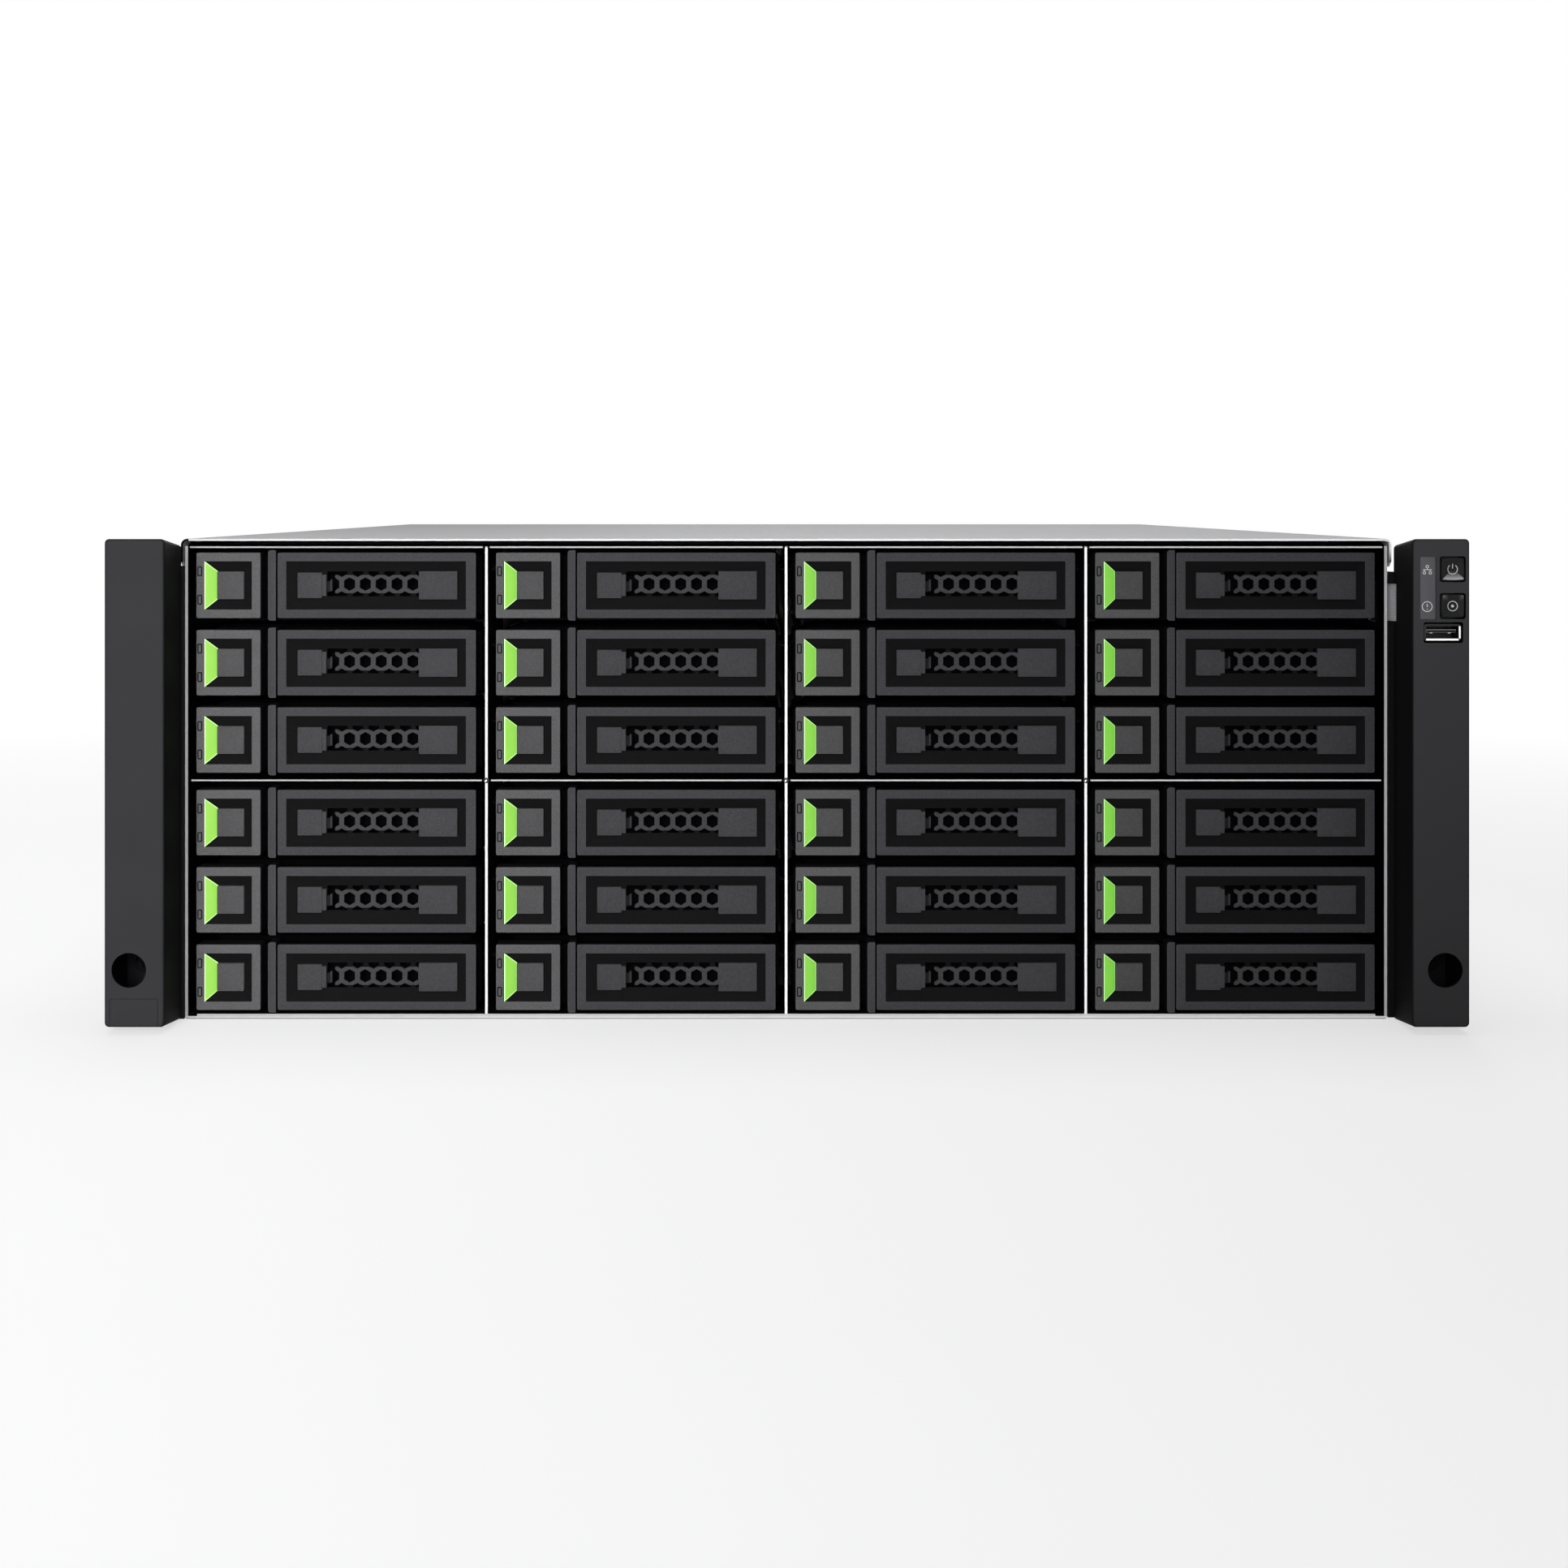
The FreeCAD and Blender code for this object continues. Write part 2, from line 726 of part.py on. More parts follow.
ribbon_slot_z = (ribbon_z - slot_clear, ribbon_z + ribbon_w + slot_clear)
ribbon_start = (ear_in + ribbon_start_inset, panel_y + panel_t + ribbon_plug[1] / 2)


def ribbon_route():
    """The ribbon's middle line in plan, from the panel board to the top backplane."""
    out_x, in_x = half_w + ribbon_out, wall_in - ribbon_in
    corners = [(out_x, ribbon_bend_y[0]), (out_x, ribbon_bend_y[1]), (in_x, ribbon_bend_y[2])]
    return [ribbon_start, *corners, (in_x, board_y)]


def arc_path(points, radii):
    """A flat path through the points whose corners are rounded to the radii."""
    points = [Vector(x, y, 0) for x, y in points]
    edges = []
    start = points[0]
    for corner, after, r in zip(points[1:], points[2:], radii):
        into = (corner - start).normalize()
        out = (after - corner).normalize()
        turn = into.getAngle(out)
        cut = r * math.tan(turn / 2)
        middle = corner + (out - into).normalize() * (r / math.cos(turn / 2) - r)
        edges.append(Part.makeLine(start, corner - into * cut))
        edges.append(Part.Arc(corner - into * cut, middle, corner + out * cut).toShape())
        start = corner + out * cut
    edges.append(Part.makeLine(start, points[-1]))
    return edges


def ribbon():
    """A flat cable: each stretch of its plan line thickened to both sides and raised to its width."""
    half = ribbon_t / 2
    pieces = []
    for edge in arc_path(ribbon_route(), ribbon_bends):
        a, b = edge.Vertexes[0].Point, edge.Vertexes[-1].Point
        tangent = edge.tangentAt(edge.FirstParameter)
        across = Vector(-tangent.y, tangent.x, 0) * half
        line = Part.makeLine(a - across, a + across)
        spine = Part.Wire([edge])
        sheet = spine.makePipe(line)
        pieces.append(sheet.extrude(Vector(0, 0, ribbon_w)))
    body = pieces[0].fuse(pieces[1:])
    body.translate(Vector(0, 0, ribbon_z))
    return body.removeSplitter()


def ear_right():
    """The right ear: cover, bracket, operator panel and the ribbon that leaves it."""
    way_out = box(ear_in, ear_in + ear_wall, ribbon_notch_y, ear_back, *ribbon_slot_z)
    cover = ear_shell().cut(panel_windows() + [way_out])
    bracket = ear_bracket().cut(box(half_w, ear_in + 1, -bracket_t, ribbon_slot_y[1], *ribbon_slot_z))
    light = panel_box(strip_x, strip_z, strip_w, strip_h, ear_front + strip_back, ear_front + ear_wall)
    return [cover, bracket, light, ribbon()] + usb_socket() + panel_board()


def ear_left():
    return [mirrored(ear_shell()), mirrored(ear_bracket())]


def key_cap(z):
    """A push button: a cap with broken front edges, on its plunger."""
    y0 = ear_front - key_proud
    cap = panel_box(key_x, z, key_w, key_w, y0, y0 + key_t)
    front = [e for e in cap.Edges if e.BoundBox.YMax < y0 + 0.01]
    plunger = panel_box(key_x, z, plunger_w, plunger_w, y0 + key_t, panel_y - switch_t - key_travel)
    return cap.makeChamfer(key_edge, front).fuse(plunger).removeSplitter()


os.makedirs("parts", exist_ok=True)

save("chassis", chassis_sheets())
save("top_cover", [top_cover()])
save("drive_cage", drive_cage())
save("midplane", backplanes())
save("ear_left", ear_left())
save("ear_right", ear_right())
save("power_button", [key_cap(power_z)])
save("locate_button", [key_cap(locate_z)])
for number, side in ((1, -1), (2, 1)):
    save(f"io_module_{number}", io_module(side))
    save(f"power_supply_{number}", power_supply(side))

carrier_pieces = carrier()
lever_pieces = [lever(), lock_slider()]
for column in range(columns):
    for row in range(row_count):
        place = (column_x(column), 0, row_bottom(row))
        name = f"c{column + 1}r{row + 1}"
        save(f"carrier_{name}", [moved(piece, *place) for piece in carrier_pieces])
        save(f"lever_{name}", [moved(piece, *place) for piece in lever_pieces])
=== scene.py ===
import math

import bmesh
import bpy
import numpy as np
from mathutils import Matrix, Vector


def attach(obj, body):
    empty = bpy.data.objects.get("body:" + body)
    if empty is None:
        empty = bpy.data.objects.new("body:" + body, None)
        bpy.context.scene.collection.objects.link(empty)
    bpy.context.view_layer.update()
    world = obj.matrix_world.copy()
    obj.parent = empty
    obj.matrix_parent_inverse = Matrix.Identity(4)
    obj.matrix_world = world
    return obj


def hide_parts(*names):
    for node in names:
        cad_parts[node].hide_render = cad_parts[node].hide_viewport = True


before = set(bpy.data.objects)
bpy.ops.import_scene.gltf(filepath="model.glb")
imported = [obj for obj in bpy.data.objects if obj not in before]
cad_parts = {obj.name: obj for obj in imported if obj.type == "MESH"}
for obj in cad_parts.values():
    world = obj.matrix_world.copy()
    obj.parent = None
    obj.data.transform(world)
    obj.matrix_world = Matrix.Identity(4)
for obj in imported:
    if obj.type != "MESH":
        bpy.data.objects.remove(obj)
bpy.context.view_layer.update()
mm = 0.001


# shader trees written as expressions

class Value:
    # a socket of a shader tree; arithmetic on it adds Math nodes
    def __init__(self, finish, socket):
        self.finish = finish
        self.socket = socket

    def math(self, operation, *others):
        return self.finish.add("ShaderNodeMath", {"operation": operation}, (self, *others))

    def __add__(self, other):
        return self.math("ADD", other)

    def __sub__(self, other):
        return self.math("SUBTRACT", other)

    def __rsub__(self, other):
        return self.finish.add("ShaderNodeMath", {"operation": "SUBTRACT"}, (other, self))

    def __mul__(self, other):
        return self.math("MULTIPLY", other)

    def __gt__(self, other):
        return self.math("GREATER_THAN", other)

    def __lt__(self, other):
        return self.math("LESS_THAN", other)

    __radd__ = __add__
    __rmul__ = __mul__


class Finish:
    # the nodes of one material or of the world: add() makes each one, and surface() closes a material
    def __init__(self, name, owner=None):
        self.material = owner or bpy.data.materials.new(name)
        self.material.use_nodes = True
        self.tree = self.material.node_tree
        self.tree.nodes.clear()
        self.place = self.add("ShaderNodeTexCoord", out="Object")

    def add(self, kind, settings=None, sockets=(), out=0):
        node = self.tree.nodes.new(kind)
        for key, setting in (settings or {}).items():
            if key == "stops":
                ramp = node.color_ramp.elements
                while len(ramp) < len(setting):
                    ramp.new(0.5)
                for stop, (position, grey) in zip(ramp, setting):
                    stop.position = position
                    stop.color = (grey, grey, grey, 1)
            else:
                setattr(node, key, setting)
        pairs = sockets.items() if isinstance(sockets, dict) else enumerate(sockets)
        for key, given in pairs:
            if isinstance(given, Value):
                self.tree.links.new(given.socket, node.inputs[key])
            else:
                node.inputs[key].default_value = given
        return Value(self, node.outputs[out]) if len(node.outputs) else None

    def face(self, name):
        return self.add("ShaderNodeAttribute", {"attribute_name": name}, out="Fac")

    def axes(self):
        split = self.add("ShaderNodeSeparateXYZ", sockets=(self.place,))
        outputs = split.socket.node.outputs
        return [Value(self, outputs[axis]) for axis in "XYZ"]

    def stretched(self, scale):
        return self.add("ShaderNodeMapping", sockets={"Vector": self.place, "Scale": scale})

    def grain(self, scale, detail=3.0, roughness=0.5, place=None):
        return self.add("ShaderNodeTexNoise", None, {
            "Vector": place or self.place, "Scale": scale, "Detail": detail, "Roughness": roughness})

    def brushed(self, scale, stretch):
        # noise drawn out along one axis
        return self.grain(scale, 2.0, 0.5, self.stretched(stretch))

    def speckle(self, scale, detail=3.0):
        # noise whose middle range is stretched to black and white
        return self.ramp(self.grain(scale, detail, 0.6), (0.32, 0.0), (0.68, 1.0))

    def cells(self, scale, out="Distance", place=None):
        sockets = {"Vector": place or self.place, "Scale": scale}
        return self.add("ShaderNodeTexVoronoi", None, sockets, out=out)

    def ramp(self, value, *stops):
        return self.add("ShaderNodeValToRGB", {"stops": stops}, {"Fac": value}, out="Color")

    def blend(self, factor, first, second):
        # a colour between two
        given = [c if isinstance(c, Value) else (*c, 1.0) for c in (first, second)]
        sockets = {0: factor, 6: given[0], 7: given[1]}
        return self.add("ShaderNodeMix", {"data_type": "RGBA"}, sockets, out=2)

    def bump(self, height, strength, depth):
        sockets = {"Height": height, "Strength": strength, "Distance": depth * mm}
        return self.add("ShaderNodeBump", None, sockets)

    def surface(self, **sockets):
        named = {"colour": "Base Color", "rough": "Roughness", "metal": "Metallic", "bump": "Normal",
                 "gloss": "Specular IOR Level", "coat": "Coat Weight", "coatRough": "Coat Roughness",
                 "glow": "Emission Color", "glowLevel": "Emission Strength"}
        values = {}
        for key, given in sockets.items():
            values[named[key]] = (*given, 1.0) if isinstance(given, tuple) else given
        shader = self.add("ShaderNodeBsdfPrincipled", None, values)
        self.add("ShaderNodeOutputMaterial", None, {"Surface": shader})
        return self.material


# surfaces worked out on grids of points

class Shape:
    # gathers sheets of points into one mesh; shade and highlight are face values that the finishes read,
    # mostly as painted shade and painted highlight
    def __init__(self):
        self.points, self.faces, self.shades, self.highlights = [], [], [], []
        self.count = 0

    def sheet(self, grid, around=False, closed=False, shade=0.0, wear=0.0):
        # grid[i, j] is a point: around joins the last column to the first, closed the last row to the first
        rows, columns = grid.shape[:2]
        i = np.arange(rows if closed else rows - 1)[:, None]
        j = np.arange(columns if around else columns - 1)[None, :]
        nextI, nextJ = (i + 1) % rows, (j + 1) % columns
        here, below = i * columns, nextI * columns
        quads = np.stack([here + j, here + nextJ, below + nextJ, below + j], -1)
        self.points.append(grid.reshape(-1, 3))
        self.faces += (quads.reshape(-1, 4) + self.count).tolist()
        for values, given in ((self.shades, shade), (self.highlights, wear)):
            given = np.array(given, float)
            across = given if given.ndim == 2 else np.broadcast_to(given, i.size)[:, None]
            values += np.broadcast_to(across, (i.size, j.size)).ravel().tolist()
        self.count += rows * columns
        return self

    def plate(self, outline, shade=0.0, wear=0.0):
        # one flat face inside an outline
        self.points.append(outline)
        self.faces.append(list(range(self.count, self.count + len(outline))))
        self.shades.append(shade)
        self.highlights.append(wear)
        self.count += len(outline)
        return self

    def hoop(self, loops, shade=0.0, wear=0.0):
        # outlines joined one after the other, and the last one back to the first
        return self.sheet(np.stack(loops), around=True, closed=True, shade=shade, wear=wear)

    def tube(self, loops, shade=0.0, wear=0.0, ends=(0.0, 0.0)):
        # outlines joined one after the other, closed at both ends, whose shades ends gives
        self.sheet(np.stack(loops), around=True, shade=shade, wear=wear)
        return self.plate(loops[-1], ends[1]).plate(loops[0][::-1], ends[0])

    def block(self, outline, back, front, edge=0.0, shade=0.0, wear=0.5):
        # an outline carried from its back depth to its front, its front edge rounded by edge
        # the rounded edge takes the highlight value, a painted highlight where the finish reads it
        turns = np.linspace(0, np.pi / 2, 3) if edge else np.zeros(1)
        lift = math.copysign(edge, back - front)
        levels = [atDepth(outline, back)]
        levels += [atDepth(inset(outline, edge * (1 - math.cos(t))), front + lift * (1 - math.sin(t)))
                   for t in turns]
        return self.tube(levels, shade, np.where(np.arange(len(turns)) > 0, wear, 0.0), (shade, shade))

    def join(self, other):
        points = np.concatenate(other.points)
        self.points.append(points)
        self.faces += [[v + self.count for v in face] for face in other.faces]
        self.shades += other.shades
        self.highlights += other.highlights
        self.count += len(points)
        return self


def roundedBox(left, right, low, high, radius, steps=4, stops=()):
    # a rectangle's outline from its upper right corner round by the left: quarter circles joined by
    # straight runs; stops adds points along the upper and lower runs
    turn = np.linspace(0, np.pi / 2, steps + 1)
    across = np.clip(np.array(sorted(stops)), left + radius, right - radius)
    runs = []
    for quarter, (cx, cz) in enumerate(((right - radius, high - radius), (left + radius, high - radius),
                                        (left + radius, low + radius), (right - radius, low + radius))):
        angle = turn + quarter * np.pi / 2
        runs.append(np.stack([cx + radius * np.cos(angle), cz + radius * np.sin(angle)], -1))
        if len(across) and quarter in (0, 2):
            ordered = across[::-1] if quarter == 0 else across
            runs.append(np.stack([ordered, np.full(len(ordered), high if quarter == 0 else low)], -1))
    return np.concatenate(runs)


def ring(x, z, radius, sides=32, turn=0.0):
    angle = turn + np.arange(sides) * 2 * np.pi / sides
    return np.stack([x + radius * np.cos(angle), z + radius * np.sin(angle)], -1)


def centredBox(x, z, wide, tall, radius, steps=4):
    return roundedBox(x - wide / 2, x + wide / 2, z - tall / 2, z + tall / 2, radius, steps)


def atDepth(outline, y):
    # an outline seen from the front, as points at a depth
    return np.stack([outline[:, 0], np.broadcast_to(y, len(outline)), outline[:, 1]], -1)


def atHeight(outline, z):
    # an outline seen from above, as points at a height
    return np.stack([outline[:, 0], outline[:, 1], np.full(len(outline), z)], -1)


def inset(outline, by):
    # every corner moves inwards along the line that halves its angle, so that all sides shift alike
    if not by:
        return outline
    before = outline - np.roll(outline, 1, 0)
    after = np.roll(outline, -1, 0) - outline
    normals = []
    for run in (before, after):
        length = np.maximum(np.linalg.norm(run, axis=1, keepdims=True), 1e-9)
        normals.append(np.stack([-run[:, 1], run[:, 0]], -1) / length)
    middle = normals[0] + normals[1]
    reach = np.maximum((middle * normals[0]).sum(1, keepdims=True), 0.3)
    return outline + by * middle / reach


def makeMesh(name, shape, smooth=35):
    mesh = bpy.data.meshes.new(name)
    mesh.from_pydata((np.concatenate(shape.points) * mm).tolist(), [], shape.faces)
    for key, values in (("shade", shape.shades), ("wear", shape.highlights)):
        mesh.attributes.new(key, "FLOAT", "FACE").data.foreach_set("value", np.array(values, np.float32))
    work = bmesh.new()
    work.from_mesh(mesh)
    bmesh.ops.remove_doubles(work, verts=work.verts, dist=0.002 * mm)
    bmesh.ops.dissolve_degenerate(work, edges=work.edges, dist=0.001 * mm)
    bmesh.ops.recalc_face_normals(work, faces=work.faces)
    work.to_mesh(mesh)
    work.free()
    mesh.shade_smooth()
    mesh.set_sharp_from_angle(angle=math.radians(smooth))
    return mesh


def paintMesh(mesh, finish):
    mesh.materials.clear()
    mesh.materials.append(finish)


def newObject(name, data):
    thing = bpy.data.objects.new(name, data)
    bpy.context.scene.collection.objects.link(thing)
    return thing


def piece(name, form, finish, body="enclosure", replaced=(), smooth=35):
    # form is a shape, or a mesh that is already made
    mesh = makeMesh(name, form, smooth) if isinstance(form, Shape) else form
    thing = newObject(name, mesh)
    paintMesh(mesh, finish)
    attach(thing, body)
    if replaced:
        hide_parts(*replaced)
    return thing


def cutOut(mesh, holes):
    # takes the holes' blocks out of a mesh
    whole, tool = newObject("whole", mesh), newObject("tool", makeMesh("tool", holes))
    cut = whole.modifiers.new("cut", "BOOLEAN")
    cut.object = tool
    cut.operation = "DIFFERENCE"
    cut.solver = "EXACT"
    done = bpy.data.meshes.new_from_object(whole.evaluated_get(bpy.context.evaluated_depsgraph_get()))
    for thing in (whole, tool):
        bpy.data.objects.remove(thing)
    done.shade_smooth()
    done.set_sharp_from_angle(angle=math.radians(30))
    return done


# finishes

# the slope grey is the black of painted shade in the recesses, and the ears' side grey is painted shade; the
# edge greys are painted highlights; the right ear's pair is painted light, paler than the left ear's, and
# the green's glow is painted light too
plasticLook = dict(bezel=((0.052, 0.0515, 0.0535), (0.080, 0.0795, 0.082)), bezelEdge=(0.12, 0.12, 0.125),
                   lever=((0.026, 0.0257, 0.0278), (0.042, 0.0415, 0.0452)), leverEdge=(0.085, 0.085, 0.09),
                   slope=(0.0034, 0.0034, 0.0036), gloss=0.06, grain=1300,
                   ear=((0.0148, 0.0146, 0.0162), (0.023, 0.023, 0.0253)), earSideShade=(0.0028, 0.0028, 0.003),
                   earHigh=175.4, earRightLit=((0.0185, 0.0184, 0.0197), (0.0365, 0.0363, 0.039)),
                   green=((0.20, 0.25, 0.058), (0.23, 0.28, 0.067)), greenEdge=(0.62, 0.9, 0.50),
                   glow=(0.012, 0.37, 0.006), glowEdge=(0.2, 0.35, 0.15))
# black is painted shade, inside round the bays and where the cover turns down over the sides; the cover's
# front paint pair is paler than its back pair, a painted sheen
metalLook = dict(zinc=((0.32, 0.323, 0.328), (0.44, 0.444, 0.45)), black=(0.0015, 0.0015, 0.0016),
                 nickel=((0.40, 0.40, 0.40), (0.58, 0.58, 0.58)),
                 paint=(((0.375, 0.375, 0.382), (0.46, 0.46, 0.47)),
                        ((0.285, 0.285, 0.291), (0.35, 0.35, 0.357))),
                 paintDeep=515, rim=(0.1, 0.1, 0.1), rimLine=(174.98, 175.12), turn=217.8, turnHigh=173.9,
                 lip=219.65, lipLow=166.3, lipFade=5.0, inside=218.5, insideDeep=80, insideLow=0.5)
# a pair of greys, at the enclosure's left side and at its right, for each kind of bare front edge; the right
# greys are paler, painted light that evens out the lamps' falloff to the right
edgeLook = dict(reach=220, deep=0.35, side=(0.26, 0.43), floor=(0.33, 0.68), floorHigh=1.05,
                under=(0.1, 0.2), underHigh=0.3, cage=(0.3, 0.6), upright=(0.55, 1.0), cover=(0.42, 0.82))


def between(value, low, high):
    # 1 from the low limit to the high one, both in mm, and 0 elsewhere
    return (value > low * mm) * (value < high * mm)


def edgeTone(f, kind):
    # the grey of a bare front edge, from its left value to its right one: painted light, paler to the right
    share = f.axes()[0] * (0.5 / (edgeLook["reach"] * mm)) + 0.5
    return f.blend(share, *((grey, grey, grey * 1.01) for grey in edgeLook[kind]))


def bezelPlastic(name):
    # shade paints the black of painted shade on the sloped walls and the sides in the gaps; highlight lifts
    # an edge, a painted highlight
    f = Finish(f"{name}Plastic")
    fine = f.speckle(plasticLook["grain"])
    paintedShade = f.face("shade")
    tone = f.blend(f.grain(120, 2.0) * 0.35 + fine * 0.65, *plasticLook[name])
    lifted = f.blend(f.face("wear") * 0.35, tone, plasticLook[f"{name}Edge"])
    colour = f.blend(paintedShade, lifted, plasticLook["slope"])
    return f.surface(colour=colour, rough=0.62 + fine * 0.12 + paintedShade * 0.15, gloss=plasticLook["gloss"],
                     bump=f.bump(fine, 0.4, 0.05))


def earPlastic():
    # shade paints the flat black of painted shade on the walls and rounded edges; the right ear is painted
    # paler than the left, and paler upwards, as painted light
    f = Finish("earPlastic")
    fine = f.grain(3200, 2.0, 0.6)
    tone = f.blend(f.grain(45, 3.0) * 0.6 + fine * 0.3, *plasticLook["ear"])
    x, _, z = f.axes()
    tone = f.blend(x > 0, tone, f.blend(z * (1 / (plasticLook["earHigh"] * mm)), *plasticLook["earRightLit"]))
    colour = f.blend(f.face("shade"), tone, plasticLook["earSideShade"])
    return f.surface(colour=colour, rough=0.58 + fine * 0.15, gloss=plasticLook["gloss"],
                     bump=f.bump(fine, 0.25, 0.025))


def lightGreen():
    # highlight paints the bevelled edges paler, a painted highlight; the insert glows though it is no lamp,
    # painted light that evens out the lamps' falloff
    f = Finish("lightGreen")
    broad = f.grain(260, 2.0)
    edge = f.face("wear")
    colour = f.blend(edge, f.blend(broad, *plasticLook["green"]), plasticLook["greenEdge"])
    glow = f.blend(edge, plasticLook["glow"], plasticLook["glowEdge"])
    return f.surface(colour=colour, rough=0.4 + broad * 0.1, gloss=0.2, glow=glow, glowLevel=1.0)


def twoTone(name, grain, first, second, rough, vary=0.1, relief=0.0, **more):
    # two close tones mixed by noise, which also varies the roughness and the relief
    f = Finish(name)
    fine = f.grain(*grain)
    if relief:
        more["bump"] = f.bump(fine, relief, 0.02)
    return f.surface(colour=f.blend(fine, first, second), rough=rough + fine * vary, **more)


def blackPlastic(name="blackPlastic", tone=(0.004, 0.004, 0.0045), rough=0.5):
    paler = tuple(1.6 * c for c in tone)
    return twoTone(name, (2200, 2.0, 0.6), tone, paler, rough, 0.12, 0.15, gloss=0.02)


def zincSteel():
    # spangled sheet with matt front edges, the floor's the palest and all of them paler to the right as
    # painted light; black inside round the bays as painted shade
    f = Finish("zincSteel")
    spangle = f.add("ShaderNodeSeparateColor", sockets=(f.cells(140, out="Color"),))
    drawn = f.brushed(900, (1.0, 0.03, 1.0))
    x, y, z = f.axes()
    edge = y < edgeLook["deep"] * mm
    low = f.blend(z < edgeLook["underHigh"] * mm, edgeTone(f, "floor"), edgeTone(f, "under"))
    bare = f.blend(z < edgeLook["floorHigh"] * mm, edgeTone(f, "side"), low)
    # painted shade: black inside round the bays, near the front
    black = (between(x, -metalLook["inside"], metalLook["inside"]) * (y < metalLook["insideDeep"] * mm)
             * (z > metalLook["insideLow"] * mm))
    colour = f.blend(black, f.blend(spangle * 0.5 + drawn * 0.4, *metalLook["zinc"]), metalLook["black"])
    return f.surface(colour=f.blend(edge, colour, bare), metal=0.9 - edge.math("MAXIMUM", black) * 0.9,
                     rough=0.36 + drawn * 0.16 + edge * 0.3, gloss=0.02, bump=f.bump(drawn, 0.05, 0.02))


def coverPaint():
    # a painted sheen makes it a little paler towards the front; the cut front edge, paler to the right as
    # painted light, has a dark line along its upper rim and is black with painted shade where it turns down
    # over the sides, apart from the outer lip of the right one, a painted highlight which fades downwards
    f = Finish("coverPaint")
    drawn = f.brushed(700, (1.0, 0.02, 1.0))
    peel = f.grain(500, 2.0)
    x, y, z = f.axes()
    front, back = (f.blend(drawn * 0.6 + peel * 0.3, *pair) for pair in metalLook["paint"])
    colour = f.blend(y * (1 / (metalLook["paintDeep"] * mm)), front, back)
    pale = edgeTone(f, "cover")
    fade = ((z - metalLook["lipLow"] * mm) * (1 / (metalLook["lipFade"] * mm))).math("MAXIMUM", 0.0)
    lip = f.blend((x > metalLook["lip"] * mm) * fade.math("MINIMUM", 1.0), metalLook["black"], pale)
    turned = (x > metalLook["turn"] * mm) * (z < metalLook["turnHigh"] * mm)
    cut = f.blend(turned, f.blend(between(z, *metalLook["rimLine"]), pale, metalLook["rim"]), lip)
    cut = f.blend(x < -metalLook["turn"] * mm, cut, metalLook["black"])
    colour = f.blend(y < edgeLook["deep"] * mm, colour, cut)
    return f.surface(colour=colour, rough=0.6 + peel * 0.1, gloss=0.03, bump=f.bump(peel, 0.05, 0.02))


def moduleSteel():
    f = Finish("moduleSteel")
    drawn = f.brushed(800, (0.04, 1.0, 1.0))
    stain = f.grain(30, 3.0)
    colour = f.blend(drawn * 0.5 + stain * 0.4, *metalLook["nickel"])
    return f.surface(colour=colour, metal=0.8, rough=0.34 + drawn * 0.15, bump=f.bump(drawn, 0.1, 0.02))


boardLook = dict(mask=((0.004, 0.03, 0.014), (0.02, 0.09, 0.04)), plug=(0.01, 0.01, 0.011), plugsTo=175.95)


def circuitBoard(name="circuitBoard", plugs=False):
    # green mask over tracks; plugs blackens all that stands in front of the backplane
    f = Finish(name)
    tracks = f.cells(420)
    weave = f.grain(90, 3.0)
    colour = f.blend(tracks * weave, *boardLook["mask"])
    if plugs:
        colour = f.blend(f.axes()[1] < boardLook["plugsTo"] * mm, colour, boardLook["plug"])
    return f.surface(colour=colour, rough=0.35 + weave * 0.15, gloss=0.3, bump=f.bump(tracks, 0.2, 0.03))


bezel = bezelPlastic("bezel")
leverSkin = bezelPlastic("lever")
earSkin = earPlastic()
greenLens = lightGreen()
blackPart = blackPlastic()
zinc = zincSteel()
paint = coverPaint()
nickel = moduleSteel()
board = circuitBoard()
print("finishes made")


# bays

bays = dict(columns=4, rows=6, pitchX=109.25, pitchZ=28.2, groupZ=(3.1, 89.6), inGroup=3, tall=23.9)


def bayPlace(column, row):
    group, step = divmod(row, bays["inGroup"])
    return (column - bays["columns"] / 2) * bays["pitchX"], bays["groupZ"][group] + step * bays["pitchZ"]


# lever

lever = dict(left=33.0, wide=72.4, thick=3.2, corner=0.6, edge=0.45, crown=0.24, rims=(3.3, 3.6, 3.15),
             floor=2.2, island=(40.3, 98.6, 6.85, 17.05), plateau=0.5, tipFrom=100.4, tipThick=1.9,
             lip=0.14, window=(50.9, 84.6, 7.9, 17.0), lock=(40.35, 49.2, 7.3, 16.6),
             tail=(49.2, 50.75, 8.05, 15.85), tab=(52.15, 52.85, 9.9, 14.0), step=(50.75, 52.2, 9.6, 13.4),
             flat=(84.6, 98.55, 6.85, 17.1), hexPitch=5.77, hexLast=82.35, hexCount=5, hexLift=0.47,
             hexHalf=1.97, hexShoulder=1.35, hexTip=2.45, bandHalf=3.36, notch=0.8, hexSlope=0.558,
             webBack=2.2, webFront=0.62, legFront=1.7, pivot=(100.8, 5.2), hook=2.1, hookBack=1.0,
             hookFront=1.85, pinHole=1.15, hookSpan=(5.7, 18.2))


